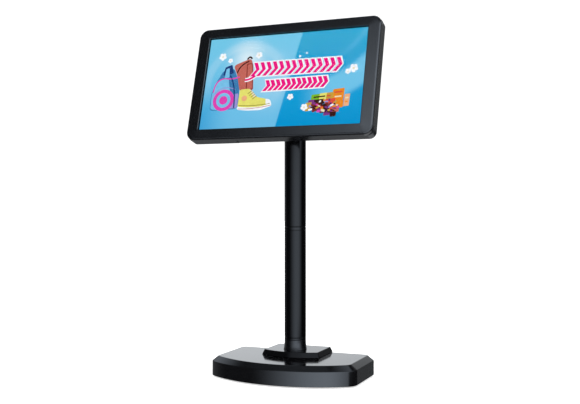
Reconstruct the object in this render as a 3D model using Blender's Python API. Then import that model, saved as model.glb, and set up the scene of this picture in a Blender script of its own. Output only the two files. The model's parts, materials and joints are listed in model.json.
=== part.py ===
"""Customer pole display: a weighted base, a two-piece pole and a tilting, swivelling 10.1-inch screen.

World frame: +Z up, +X to the viewer's right, +Y to the back, origin on the counter at the middle of the
base's footprint. The screen leans back by TILT about a bolt on the pole's axis. Pieces of the display are
built in screen coordinates (x, depth behind the bezel's front, height) under an empty on that bolt.
"""

import math

import bmesh
import bpy
from mathutils import Vector

# Driving dimensions, in metres.
GAP = 0.0003                # between touching pieces
POLE_Y = 0.02335            # pole axis, behind the middle of the footprint
TILT = math.radians(15.8)   # lean of the screen at rest

FOOT_HEIGHT = 0.0022
COVER_BOTTOM = 0.0020       # lower rim of the base cover
CHAMFER_Z = 0.0210          # where the base's wall turns into its chamfer
BASE_TOP = 0.0276
BASE_WALL = 0.0025
PLATE_BOTTOM = 0.0025
PLATE_TOP = 0.0040
INSIDE_LOW = PLATE_TOP + GAP
EDGE = 0.0006               # broken edge of the base cover
# Base outlines: half width, front apex, front arc radius, back, front and back corner radius.
BASE_RIM = (0.1010, -0.0855, 0.165, 0.037, 0.018, 0.009)
BASE_DECK = (0.0925, -0.079, 0.150, 0.0335, 0.011, 0.006)
BALLAST_OUTLINE = (0.0720, -0.064, 0.140, 0.028, 0.010, 0.006)
BALLAST_HEIGHT = 0.014
FLANGE_FOOT = (0.0412, -0.0295, 0.078, 0.0365, 0.003, 0.002)
FLANGE_DECK = (0.0380, -0.0265, 0.075, 0.0350, 0.002, 0.0015)
FLANGE_BOTTOM = BASE_TOP + GAP
FLANGE_TOP = 0.0347
BOSS_TOP = 0.0479
SPIGOT_TOP = 0.0750
# The boss's flare: how much wider than the tube, and how far above the flange's top.
BOSS_FLARE = ((0.0018, -0.0010), (0.0014, 0.0008), (0.0008, 0.0033), (0.0003, 0.0062), (0.0, 0.0092))
BASE_SCREW_X = 0.080
BASE_SCREW_YS = (-0.038, 0.024)
BASE_SCREW_HOLE = 0.0018
FLANGE_BOLT_X = 0.0245
FLANGE_BOLT_YS = (-0.006, 0.021)
FLANGE_BOLT_HOLE = 0.0029
FLANGE_BOLT_SEAT = 0.0087   # under the bolt heads, inside the ballast
FOOT_RADIUS = 0.0080
FOOT_X = 0.066
FOOT_YS = (-0.052, 0.024)

TUBE_RADIUS = 0.0145
TUBE_BORE = 0.0125
SPIGOT_RADIUS = 0.0122      # anything that slips into the tube
COLLAR_TOP = 0.0512
JOINT_BOTTOM = 0.1945
JOINT_TOP = 0.1988
UPPER_TUBE_TOP = 0.3430
BUSH_BOTTOM = 0.3185
BUSH_TOP = 0.3463
HEAD_BOTTOM = 0.3020        # lower end of the yoke's spigot
DISC_BOTTOM = 0.3481        # the yoke's disc, which rests on the washer
DISC_TOP = 0.3541
DISC_RADIUS = 0.0165
HEAD_SPIGOT = 0.0090
HEAD_BORE = 0.0060
HEAD_CLEAR = 0.0093         # bore of what the yoke's spigot turns in
CABLE_RADIUS = 0.0080       # cable way through the flange
OUTLET_Z = 0.0120
OUTLET_RADIUS = 0.0063
OUTLET_BORE = 0.0045
GROMMET_LIP = 0.0018

PIN_Z = 0.3732              # tilt bolt
PIN_RADIUS = 0.0030
PIN_TO_FRONT = 0.0528       # from the tilt bolt to the bezel's front, square to the screen
SCREEN_RISE = 0.0037        # screen centre above the tilt bolt, along the screen
ARM_INNER = 0.0085
ARM_OUTER = 0.0130
EAR_INNER = 0.0146
EAR_OUTER = 0.0171
EAR_RADIUS = 0.0090
ARM_REACH = 0.0205          # from the tilt bolt down into the yoke's disc

PICTURE_HALF = (0.11136, 0.06525)
BEZEL_HALF = (0.1287, 0.0801)
BEZEL_CORNER = 0.012
BEZEL_EDGE = 0.003          # rounding of the bezel's front edge
BEZEL_DEPTH = 0.0082
BEZEL_WALL = 0.0022
COVER_HALF = (0.1285, 0.0795)
COVER_CORNER = 0.0085
COVER_EDGE = 0.0025
COVER_SIDE = 0.0030         # thickness of the rear cover's side wall
COVER_WALL = 0.0020         # thickness of its back wall
TONGUE = (0.0024, 0.0038)   # outer and inner face of its tongue, in from the outline
TONGUE_CORNER = 0.0095
TONGUE_DEPTH = 0.0020
DISPLAY_DEPTH = 0.0225
VENT_HALF = (0.0010, 0.0070)
VENT_PITCH = 0.0075
VENT_ROW = 0.0595
COVER_SCREWS = (0.1215, 0.052)
COVER_SCREW_SEAT = 0.0141
CHASSIS_SCREWS = (0.1215, 0.025)
PLATE_HALF = 0.042          # hinge bracket
BRACKET_THICK = 0.0025
VESA_HALF = 0.0375
VESA_SCREW_HOLE = 0.0023
INLET_RADIUS = 0.0087
BUTTON_PLACE = (0.095, -0.060)
BUTTON_HOLE = 0.0043
BOARD_CENTRE = (-0.010, -0.008)
BOARD_HALF = (0.055, 0.036)
BOARD_FRONT = 0.0125
BOARD_BACK = 0.0141
CHASSIS_FRONT = 0.0092
CHASSIS_BACK = 0.0102

ROUND = 32                  # sides of a large round piece
WIDE_ROUND = 24             # sides of a cable way
FOOT_ROUND = 20             # sides of a foot, a grommet or a button
SMALL_ROUND = 16            # sides of a wide hole or post
POST_ROUND = 12             # sides of a small post
SCREW_ROUND = 10            # sides of a screw
HOLE_ROUND = 8              # sides of a thread's hole


def clear_scene():
    """Remove every object that the file starts with."""
    for obj in list(bpy.data.objects):
        bpy.data.objects.remove(obj, do_unlink=True)


def material(name, colour, roughness, metallic=0.0):
    """Return a Principled material."""
    mat = bpy.data.materials.new(name)
    mat.use_nodes = True
    shader = mat.node_tree.nodes["Principled BSDF"]
    shader.inputs["Base Color"].default_value = (*colour, 1.0)
    shader.inputs["Roughness"].default_value = roughness
    shader.inputs["Metallic"].default_value = metallic
    return mat


# Outlines. Each returns one closed ring of points, anticlockwise.

def arc(centre, radius, start, end, steps):
    """Points of an arc in the plane, angles in degrees, both ends included."""
    points = []
    for step in range(steps + 1):
        angle = math.radians(start + (end - start) * step / steps)
        points.append((centre[0] + radius * math.cos(angle), centre[1] + radius * math.sin(angle)))
    return points


def circle(radius, sides, centre=(0.0, 0.0)):
    """Points of a full circle."""
    return arc(centre, radius, 0.0, 360.0 * (sides - 1) / sides, sides - 1)


def rectangle(half, radius, steps=5, centre=(0.0, 0.0)):
    """A rectangle with round corners."""
    points = []
    for quarter, (side_x, side_y) in enumerate(((1, 1), (-1, 1), (-1, -1), (1, -1))):
        corner = (centre[0] + side_x * (half[0] - radius), centre[1] + side_y * (half[1] - radius))
        points += arc(corner, radius, 90.0 * quarter, 90.0 * quarter + 90.0, steps)
    return points


def dee(shape, inset=0.0, front_steps=18, corner_steps=4):
    """The base's outline: straight back and sides, a bowed front, and four round corners."""
    half_width, front, bow, back, front_corner, back_corner = shape
    half_width -= inset
    front += inset
    bow -= inset
    back -= inset
    front_corner = max(front_corner - inset, 0.0008)
    back_corner = max(back_corner - inset, 0.0008)
    bow_centre = front + bow
    corner_x = half_width - front_corner
    corner_y = bow_centre - math.sqrt((bow - front_corner) ** 2 - corner_x ** 2)
    lean = math.degrees(math.asin(corner_x / (bow - front_corner)))
    points = arc((half_width - back_corner, back - back_corner), back_corner, 0.0, 90.0, corner_steps)
    points += arc((back_corner - half_width, back - back_corner), back_corner, 90.0, 180.0, corner_steps)
    points += arc((-corner_x, corner_y), front_corner, 180.0, 270.0 - lean, corner_steps)
    points += arc((0.0, bow_centre), bow, 270.0 - lean, 270.0 + lean, front_steps)[1:-1]
    points += arc((corner_x, corner_y), front_corner, 270.0 + lean, 360.0, corner_steps)
    return [(x, y + POLE_Y) for x, y in points]


# Solids.

def level(points, height):
    """Lay an outline flat at a height."""
    return [Vector((x, y, height)) for x, y in points]


def upright(points, depth):
    """Stand an outline in the screen's plane at a depth."""
    return [Vector((x, depth, z)) for x, z in points]


def sideways(points, place):
    """Stand an outline of (y, z) points square to the X axis."""
    return [Vector((place, y, z)) for y, z in points]


def loft(rings, closed=False):
    """Skin a list of rings. A closed loft joins the last ring to the first, else both ends are capped."""
    mesh = bmesh.new()
    loops = [[mesh.verts.new(point) for point in ring] for ring in rings]
    pairs = list(zip(loops, loops[1:]))
    if closed:
        pairs.append((loops[-1], loops[0]))
    else:
        mesh.faces.new(loops[0])
        mesh.faces.new(list(reversed(loops[-1])))
    for lower, upper in pairs:
        for index in range(len(lower)):
            after = (index + 1) % len(lower)
            mesh.faces.new((lower[index], upper[index], upper[after], lower[after]))
    bmesh.ops.recalc_face_normals(mesh, faces=mesh.faces)
    return mesh


def turned(profile, sides=ROUND, centre=(0.0, 0.0), closed=False):
    """Turn a profile of (radius, height) points about a vertical axis."""
    return loft([level(circle(radius, sides, centre), height) for radius, height in profile], closed)


def turned_depth(profile, sides=SMALL_ROUND, centre=(0.0, 0.0), closed=False):
    """Turn a profile of (radius, depth) points about an axis square to the screen."""
    return loft([upright(circle(radius, sides, centre), depth) for radius, depth in profile], closed)


def turned_across(profile, sides=SMALL_ROUND, closed=False):
    """Turn a profile of (radius, x) points about the tilt bolt's axis."""
    return loft([sideways(circle(radius, sides), place) for radius, place in profile], closed)


def box(low, high):
    """A rectangular block between two corners."""
    outline = [(low[0], low[1]), (high[0], low[1]), (high[0], high[1]), (low[0], high[1])]
    return loft([level(outline, low[2]), level(outline, high[2])])


def place(name, mesh, mat, parent=None, offset=(0.0, 0.0, 0.0)):
    """Make a named object from a bmesh, smooth where its faces meet at a small angle."""
    data = bpy.data.meshes.new(name)
    mesh.to_mesh(data)
    mesh.free()
    obj = bpy.data.objects.new(name, data)
    bpy.context.collection.objects.link(obj)
    data.materials.append(mat)
    data.shade_smooth()
    data.set_sharp_from_angle(angle=math.radians(35.0))
    obj.parent = parent
    obj.location = offset
    return obj


def combine(obj, tools, operation):
    """Cut tools from an object, or join them to it, one after another in the object's own coordinates."""
    for index, tool in enumerate(tools):
        data = bpy.data.meshes.new("tool")
        tool.to_mesh(data)
        tool.free()
        helper = bpy.data.objects.new("tool", data)
        bpy.context.collection.objects.link(helper)
        helper.parent = obj.parent
        helper.location = obj.location
        helper.hide_render = True
        helper.display_type = "WIRE"
        step = obj.modifiers.new("step_%d" % index, "BOOLEAN")
        step.operation = operation
        step.solver = "EXACT"
        step.object = helper
        bpy.context.view_layer.update()
        result = bpy.data.meshes.new_from_object(obj.evaluated_get(bpy.context.evaluated_depsgraph_get()))
        obj.modifiers.clear()
        obj.data = result
        result.name = obj.name
        bpy.data.objects.remove(helper, do_unlink=True)
        bpy.data.meshes.remove(data)


def empty(name, location, parent=None, rotation=(0.0, 0.0, 0.0)):
    """An empty that marks a joint's axis."""
    obj = bpy.data.objects.new(name, None)
    bpy.context.collection.objects.link(obj)
    obj.parent = parent
    obj.location = location
    obj.rotation_euler = rotation
    return obj


def screw(head_radius, head_height, shank_radius, shank_length):
    """A pan-head screw's (radius, height) profile from its tip to the top of its head."""
    return [(shank_radius, -shank_length), (shank_radius, 0.0), (head_radius, 0.0),
            (head_radius * 0.85, head_height)]


# Stand.

def base_screw_places():
    """Centres of the four screws that hold the base plate."""
    return [(side * BASE_SCREW_X, y + POLE_Y) for side in (-1, 1) for y in BASE_SCREW_YS]


def flange_bolt_places():
    """Centres of the four bolts that clamp ballast, base cover and pole flange."""
    return [(side * FLANGE_BOLT_X, y + POLE_Y) for side in (-1, 1) for y in FLANGE_BOLT_YS]


def base_cover(mat):
    """Moulded shell with an open underside, screw posts, bolt posts, a cable hole and a rear outlet."""
    inner_top = BASE_TOP - BASE_WALL
    rings = [level(dee(BASE_DECK, BASE_WALL), inner_top),
             level(dee(BASE_RIM, BASE_WALL), CHAMFER_Z - 0.001),
             level(dee(BASE_RIM, BASE_WALL), COVER_BOTTOM),
             level(dee(BASE_RIM, EDGE), COVER_BOTTOM),
             level(dee(BASE_RIM), COVER_BOTTOM + EDGE),
             level(dee(BASE_RIM), CHAMFER_Z - EDGE),
             level(dee(BASE_RIM, EDGE), CHAMFER_Z),
             level(dee(BASE_DECK, -EDGE), BASE_TOP - EDGE),
             level(dee(BASE_DECK, 0.0004), BASE_TOP)]
    cover = place("base_cover", loft(rings), mat)
    screw_post = 0.0045
    bolt_post = 0.0060
    post_top = inner_top + 0.001
    ballast_top = INSIDE_LOW + BALLAST_HEIGHT
    posts = [turned([(screw_post, INSIDE_LOW), (screw_post, post_top)], SMALL_ROUND, spot)
             for spot in base_screw_places()]
    posts += [turned([(bolt_post, ballast_top + GAP), (bolt_post, post_top)], SMALL_ROUND, spot)
              for spot in flange_bolt_places()]
    combine(cover, posts, "UNION")
    holes = [turned([(BASE_SCREW_HOLE, 0.0030), (BASE_SCREW_HOLE, 0.0200)], SCREW_ROUND, spot)
             for spot in base_screw_places()]
    holes += [turned([(FLANGE_BOLT_HOLE, 0.0150), (FLANGE_BOLT_HOLE, 0.0300)], SMALL_ROUND, spot)
              for spot in flange_bolt_places()]
    holes.append(turned([(CABLE_RADIUS, 0.0200), (CABLE_RADIUS, 0.0300)], WIDE_ROUND, (0.0, POLE_Y)))
    back = POLE_Y + BASE_RIM[3]
    holes.append(turned_depth([(OUTLET_RADIUS, back - 0.006), (OUTLET_RADIUS, back + 0.002)], FOOT_ROUND,
                              (0.0, OUTLET_Z)))
    combine(cover, holes, "DIFFERENCE")


def base_plate(mat):
    """Steel sheet that closes the base from below."""
    outline = dee(BASE_RIM, BASE_WALL + GAP)
    plate = place("base_plate", loft([level(outline, PLATE_BOTTOM), level(outline, PLATE_TOP)]), mat)
    holes = [turned([(BASE_SCREW_HOLE, PLATE_BOTTOM - 0.001), (BASE_SCREW_HOLE, PLATE_TOP + 0.001)],
                    SCREW_ROUND, spot) for spot in base_screw_places()]
    combine(plate, holes, "DIFFERENCE")


def ballast_weight(mat):
    """Cast slab with a cable slot to the back and counterbored bolt holes."""
    low = INSIDE_LOW
    high = low + BALLAST_HEIGHT
    edge = 0.001
    rings = [level(dee(BALLAST_OUTLINE, edge), low), level(dee(BALLAST_OUTLINE), low + edge),
             level(dee(BALLAST_OUTLINE), high - edge), level(dee(BALLAST_OUTLINE, edge), high)]
    slab = place("ballast_weight", loft(rings), mat)
    slot_half = 0.010
    slot_back = 0.060
    slot = [(slot_half, slot_back), (-slot_half, slot_back)]
    slot += arc((0.0, POLE_Y), slot_half, 180.0, 360.0, 12)
    cuts = [loft([level(slot, 0.0), level(slot, high + 0.010)])]
    counterbore = 0.0055
    floor = FLANGE_BOLT_SEAT + GAP
    for spot in flange_bolt_places():
        cuts.append(turned([(counterbore, 0.0), (counterbore, floor), (FLANGE_BOLT_HOLE, floor),
                            (FLANGE_BOLT_HOLE, high + 0.005)], SMALL_ROUND, spot))
    combine(slab, cuts, "DIFFERENCE")


def pole_flange(mat):
    """Plate with the base's outline in small, a round boss and a spigot for the lower tube."""
    low = FLANGE_BOTTOM
    edge = 0.0004
    plate = [level(dee(FLANGE_FOOT, edge), low), level(dee(FLANGE_FOOT), low + edge),
             level(dee(FLANGE_DECK), FLANGE_TOP - edge), level(dee(FLANGE_DECK, edge), FLANGE_TOP)]
    flange = place("pole_flange", loft(plate), mat)
    root = 0.0110
    flare = [(TUBE_RADIUS + wide, FLANGE_TOP + rise) for wide, rise in BOSS_FLARE]
    post = turned([(root, low + 0.001)] + flare +
                  [(TUBE_RADIUS, BOSS_TOP - edge), (TUBE_RADIUS - edge, BOSS_TOP),
                   (SPIGOT_RADIUS, BOSS_TOP), (SPIGOT_RADIUS, SPIGOT_TOP - 0.001),
                   (SPIGOT_RADIUS - 0.001, SPIGOT_TOP)], ROUND, (0.0, POLE_Y))
    combine(flange, [post], "UNION")
    thread = FLANGE_BOLT_HOLE - 0.0001
    cuts = [turned([(CABLE_RADIUS, 0.0200), (CABLE_RADIUS, SPIGOT_TOP + 0.015)], WIDE_ROUND, (0.0, POLE_Y))]
    cuts += [turned([(thread, 0.0200), (thread, 0.0330)], SMALL_ROUND, spot)
             for spot in flange_bolt_places()]
    combine(flange, cuts, "DIFFERENCE")


def feet(mat):
    """Four rubber pads under the base plate."""
    names = ("foot_front_left", "foot_rear_left", "foot_front_right", "foot_rear_right")
    spots = [(side * FOOT_X, y + POLE_Y) for side in (-1, 1) for y in FOOT_YS]
    for name, spot in zip(names, spots):
        profile = [(FOOT_RADIUS - 0.0005, 0.0), (FOOT_RADIUS, 0.0006), (FOOT_RADIUS, FOOT_HEIGHT)]
        place(name, turned(profile, FOOT_ROUND, spot), mat)


def base_fasteners(mat):
    """Screws of the base plate, driven upwards, and bolts that hold the flange from inside."""
    for index, spot in enumerate(base_screw_places()):
        profile = [(radius, PLATE_BOTTOM - GAP - height)
                   for radius, height in screw(0.0030, 0.0014, 0.0015, 0.014)]
        place("base_screw_%d" % (index + 1), turned(profile, SCREW_ROUND, spot), mat)
    for index, spot in enumerate(flange_bolt_places()):
        profile = [(radius, FLANGE_BOLT_SEAT - height)
                   for radius, height in screw(0.0045, 0.0035, 0.0025, 0.0235)]
        place("flange_bolt_%d" % (index + 1), turned(profile, SCREW_ROUND, spot), mat)


def pole(tube_mat, trim_mat, bush_mat):
    """Two tubes of one diameter, screwed together over a hidden joiner, and the rings between them."""
    centre = (0.0, POLE_Y)
    edge = 0.0004

    def tube(name, low, high, mat, bore=TUBE_BORE):
        """A round tube with broken outer edges."""
        profile = [(bore, low), (TUBE_RADIUS - edge, low), (TUBE_RADIUS, low + edge),
                   (TUBE_RADIUS, high - edge), (TUBE_RADIUS - edge, high), (bore, high)]
        place(name, turned(profile, ROUND, centre, closed=True), mat)

    tube("lower_collar", BOSS_TOP + GAP, COLLAR_TOP, trim_mat)
    tube("lower_tube", COLLAR_TOP + GAP, JOINT_BOTTOM - GAP, tube_mat)
    tube("joint_ring", JOINT_BOTTOM, JOINT_TOP, trim_mat)
    tube("upper_tube", JOINT_TOP + GAP, UPPER_TUBE_TOP, tube_mat)
    bore = 0.0095
    low = JOINT_BOTTOM - 0.0205
    high = JOINT_TOP + 0.0182
    joiner = [(bore, low), (SPIGOT_RADIUS, low), (SPIGOT_RADIUS, high), (bore, high)]
    place("tube_joiner", turned(joiner, ROUND, centre, closed=True), trim_mat)
    bush = [(HEAD_CLEAR, BUSH_BOTTOM), (SPIGOT_RADIUS, BUSH_BOTTOM), (SPIGOT_RADIUS, UPPER_TUBE_TOP + GAP),
            (TUBE_RADIUS, UPPER_TUBE_TOP + GAP), (TUBE_RADIUS, BUSH_TOP), (HEAD_CLEAR, BUSH_TOP)]
    place("neck_bush", turned(bush, ROUND, centre, closed=True), bush_mat)


def grommet_profile(bore, neck, flange, inner_face, outer_face):
    """A grommet's closed (radius, depth) profile around a wall between two faces."""
    low = inner_face - GROMMET_LIP
    high = outer_face + GROMMET_LIP
    return [(bore, low), (flange - 0.0006, low), (flange, inner_face - GAP), (neck, inner_face - GAP),
            (neck, outer_face + GAP), (flange, outer_face + GAP), (flange - 0.0008, high), (bore, high)]


def cable_grommet(mat):
    """Rubber grommet in the base's rear wall, where the cables leave."""
    back = POLE_Y + BASE_RIM[3]
    profile = grommet_profile(OUTLET_BORE, OUTLET_RADIUS - GAP, 0.0080, back - BASE_WALL, back)
    mesh = turned_depth(profile, FOOT_ROUND, (0.0, OUTLET_Z), closed=True)
    place("cable_grommet", mesh, mat)


# Swivelling head.

def ear_outline(radius, reach, half_width, direction):
    """A tab's outline: round about the tilt bolt, and straight back to its root."""
    if direction == "down":
        tip = arc((0.0, 0.0), radius, 0.0, 180.0, 14)
        return tip + [(-half_width, -reach), (half_width, -reach)]
    tip = arc((0.0, 0.0), radius, -80.0, 80.0, 14)
    return tip + [(-reach, half_width), (-reach, -half_width)]


def hinge_head(head_mat, washer_mat, nut_mat, parent):
    """Yoke on a hollow spigot that turns in the neck bush, with its washer and nut."""
    offset = (0.0, 0.0, -PIN_Z)
    edge = 0.0007
    spigot = [(HEAD_BORE, HEAD_BOTTOM), (HEAD_SPIGOT - edge, HEAD_BOTTOM), (HEAD_SPIGOT, HEAD_BOTTOM + edge),
              (HEAD_SPIGOT, DISC_BOTTOM), (DISC_RADIUS - edge, DISC_BOTTOM),
              (DISC_RADIUS, DISC_BOTTOM + edge), (DISC_RADIUS, DISC_TOP - edge),
              (DISC_RADIUS - edge, DISC_TOP), (HEAD_BORE, DISC_TOP)]
    head = place("hinge_head", turned(spigot, ROUND, closed=True), head_mat, parent, offset)
    arms = []
    for side in (-1, 1):
        outline = [(y, z + PIN_Z) for y, z in ear_outline(EAR_RADIUS, ARM_REACH, EAR_RADIUS, "down")]
        arms.append(loft([sideways(outline, side * ARM_INNER), sideways(outline, side * ARM_OUTER)]))
    combine(head, arms, "UNION")
    bore = loft([[Vector((x, y, z + PIN_Z)) for y, z in circle(PIN_RADIUS + GAP, SMALL_ROUND)]
                 for x in (-0.020, 0.020)])
    combine(head, [bore], "DIFFERENCE")
    low = BUSH_TOP + GAP
    high = DISC_BOTTOM - GAP
    washer = [(HEAD_CLEAR, low), (TUBE_RADIUS, low), (TUBE_RADIUS, high), (HEAD_CLEAR, high)]
    place("swivel_washer", turned(washer, ROUND, closed=True), washer_mat, parent, offset)
    top = BUSH_BOTTOM - GAP
    bottom = top - 0.0092
    hexagon = circle(0.0116, 6)
    nut = place("swivel_nut", loft([level(hexagon, bottom), level(hexagon, top)]), nut_mat, parent, offset)
    combine(nut, [turned([(HEAD_CLEAR, bottom - 0.001), (HEAD_CLEAR, top + 0.001)], WIDE_ROUND)],
            "DIFFERENCE")


# Display.

def corners(half):
    """The four places at plus and minus a half size."""
    return [(side_x * half[0], side_y * half[1]) for side_x in (-1, 1) for side_y in (-1, 1)]


def front_bezel(mat, parent, offset):
    """Front frame with a rounded edge, a window and eight screw bosses inside."""
    window = (PICTURE_HALF[0] + 0.0008, PICTURE_HALF[1] + 0.0008)
    window_corner = 0.0008
    lip = 0.0020
    chamfer = 0.0005

    def ring(inset, depth):
        """One outline of the frame's outside, moved in by an inset."""
        half = (BEZEL_HALF[0] - inset, BEZEL_HALF[1] - inset)
        return upright(rectangle(half, max(BEZEL_CORNER - inset, 0.001)), depth)

    opening = rectangle(window, window_corner)
    widened = rectangle((window[0] + chamfer, window[1] + chamfer), window_corner + chamfer)
    rings = [upright(opening, lip), upright(opening, chamfer), upright(widened, 0.0)]
    for step in range(5):
        angle = math.radians(90.0 * step / 4)
        rings.append(ring(BEZEL_EDGE * (1 - math.sin(angle)), BEZEL_EDGE * (1 - math.cos(angle))))
    rings += [ring(0.0, BEZEL_DEPTH - 0.0005), ring(0.0005, BEZEL_DEPTH), ring(BEZEL_WALL, BEZEL_DEPTH),
              ring(BEZEL_WALL, lip)]
    bezel = place("front_bezel", loft(rings, closed=True), mat, parent, offset)
    boss = 0.0026
    root = 0.0012
    bosses = [turned_depth([(boss, root), (boss, 0.0091)], POST_ROUND, spot)
              for spot in corners(COVER_SCREWS)]
    bosses += [turned_depth([(boss, root), (boss, CHASSIS_FRONT - 0.0004)], POST_ROUND, spot)
               for spot in corners(CHASSIS_SCREWS)]
    combine(bezel, bosses, "UNION")
    holes = [turned_depth([(0.0014, 0.0030), (0.0014, 0.0110)], HOLE_ROUND, spot)
             for spot in corners(COVER_SCREWS) + corners(CHASSIS_SCREWS)]
    combine(bezel, holes, "DIFFERENCE")


def vent_places():
    """Centres of the vent slots in the rear cover, in rows above and below the bracket."""
    return [(VENT_PITCH * column, side * VENT_ROW) for side in (-1, 1) for column in range(-4, 5)]


def rear_cover(mat, parent, offset):
    """Back shell with a tongue inside the bezel, screw posts, vents, bracket bosses and a cable inlet."""
    inner_back = DISPLAY_DEPTH - COVER_WALL
    outside = DISPLAY_DEPTH + 0.0015

    def ring(inset, depth, corner=COVER_CORNER):
        """One outline of the shell, moved in by an inset."""
        half = (COVER_HALF[0] - inset, COVER_HALF[1] - inset)
        return upright(rectangle(half, corner - inset), depth)

    rim = BEZEL_DEPTH + GAP
    tip = rim - TONGUE_DEPTH
    round_in = TONGUE_CORNER + TONGUE[0]
    fillet = 0.0015
    bevel = 0.0005
    rings = [ring(COVER_SIDE + fillet, inner_back), ring(COVER_SIDE, inner_back - fillet),
             ring(COVER_SIDE, rim + TONGUE_DEPTH), ring(TONGUE[1], rim, round_in),
             ring(TONGUE[1], tip, round_in), ring(TONGUE[0], tip, round_in), ring(TONGUE[0], rim, round_in),
             ring(bevel, rim), ring(0.0, rim + bevel)]
    for step in range(5):
        angle = math.radians(90.0 * step / 4)
        rings.append(ring(COVER_EDGE * (1 - math.cos(angle)),
                          DISPLAY_DEPTH - COVER_EDGE * (1 - math.sin(angle))))
    cover = place("rear_cover", loft(rings), mat, parent, offset)
    screw_post = 0.0042
    vesa_post = 0.0045
    post_back = inner_back + 0.001
    posts = [turned_depth([(screw_post, 0.0094), (screw_post, post_back)], SMALL_ROUND, spot)
             for spot in corners(COVER_SCREWS)]
    posts += [turned_depth([(vesa_post, 0.0155), (vesa_post, post_back)], SMALL_ROUND, spot)
              for spot in corners((VESA_HALF, VESA_HALF))]
    combine(cover, posts, "UNION")
    shank = 0.0016
    well = 0.0031
    floor = COVER_SCREW_SEAT - GAP
    inside = inner_back - 0.0025
    cuts = [turned_depth([(shank, 0.0080), (shank, floor), (well, floor), (well, outside)], POST_ROUND, spot)
            for spot in corners(COVER_SCREWS)]
    cuts += [turned_depth([(VESA_SCREW_HOLE, 0.0140), (VESA_SCREW_HOLE, outside)], POST_ROUND, spot)
             for spot in corners((VESA_HALF, VESA_HALF))]
    cuts.append(turned_depth([(INLET_RADIUS, inside), (INLET_RADIUS, outside)], WIDE_ROUND))
    cuts.append(turned_depth([(BUTTON_HOLE, inside), (BUTTON_HOLE, outside)], SMALL_ROUND, BUTTON_PLACE))
    for spot in vent_places():
        slot = rectangle(VENT_HALF, 0.0006, 1, spot)
        cuts.append(loft([upright(slot, inside), upright(slot, outside)]))
    low = -COVER_HALF[1]
    recess_half = 0.059
    recess_front = 0.0110
    recess_depth = 0.0008
    cuts.append(box((-recess_half, recess_front, low - 0.002), (recess_half, 0.0260, low + recess_depth)))
    combine(cover, cuts, "DIFFERENCE")


def slab(name, half, radius, front, back, mat, parent, offset, centre=(0.0, 0.0)):
    """A flat plate in the screen's plane."""
    outline = rectangle(half, radius, 3, centre)
    return place(name, loft([upright(outline, front), upright(outline, back)]), mat, parent, offset)


def screen_stack(mats, parent, offset):
    """Cover glass, liquid-crystal cell, backlight and the steel chassis behind them."""
    stack = (("screen_glass", (0.1165, 0.0705), 0.0015, 0.0023, 0.0034, "glass"),
             ("lcd_cell", (0.1150, 0.0688), 0.0005, 0.0037, 0.0051, "picture"),
             ("backlight_unit", (0.1172, 0.0713), 0.0008, 0.0054, 0.0089, "steel"))
    for name, half, corner, front, back, mat in stack:
        slab(name, half, corner, front, back, mats[mat], parent, offset)
    chassis = slab("panel_chassis", (0.1165, 0.0705), 0.0020, CHASSIS_FRONT, CHASSIS_BACK, mats["steel"],
                   parent, offset)
    tab_ends = (0.1100, 0.1243)
    tab_half = 0.0045
    tabs = []
    for side in (-1, 1):
        for height in (-CHASSIS_SCREWS[1], CHASSIS_SCREWS[1]):
            ends = sorted((side * tab_ends[0], side * tab_ends[1]))
            tabs.append(box((ends[0], CHASSIS_FRONT, height - tab_half),
                            (ends[1], CHASSIS_BACK, height + tab_half)))
    standoff = 0.0026
    for spot in board_screw_places():
        tabs.append(turned_depth([(standoff, CHASSIS_FRONT + 0.0005), (standoff, BOARD_FRONT - GAP)],
                                 POST_ROUND, spot))
    combine(chassis, tabs, "UNION")
    holes = [turned_depth([(0.0014, 0.0085), (0.0014, 0.0110)], HOLE_ROUND, spot)
             for spot in corners(CHASSIS_SCREWS)]
    holes += [turned_depth([(0.0012, 0.0085), (0.0012, 0.0130)], HOLE_ROUND, spot)
              for spot in board_screw_places()]
    combine(chassis, holes, "DIFFERENCE")


def board_screw_places():
    """Two opposite corners of the driver board."""
    margin = 0.004
    reach = (BOARD_HALF[0] - margin, BOARD_HALF[1] - margin)
    return [(BOARD_CENTRE[0] - reach[0], BOARD_CENTRE[1] - reach[1]),
            (BOARD_CENTRE[0] + reach[0], BOARD_CENTRE[1] + reach[1])]


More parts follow.
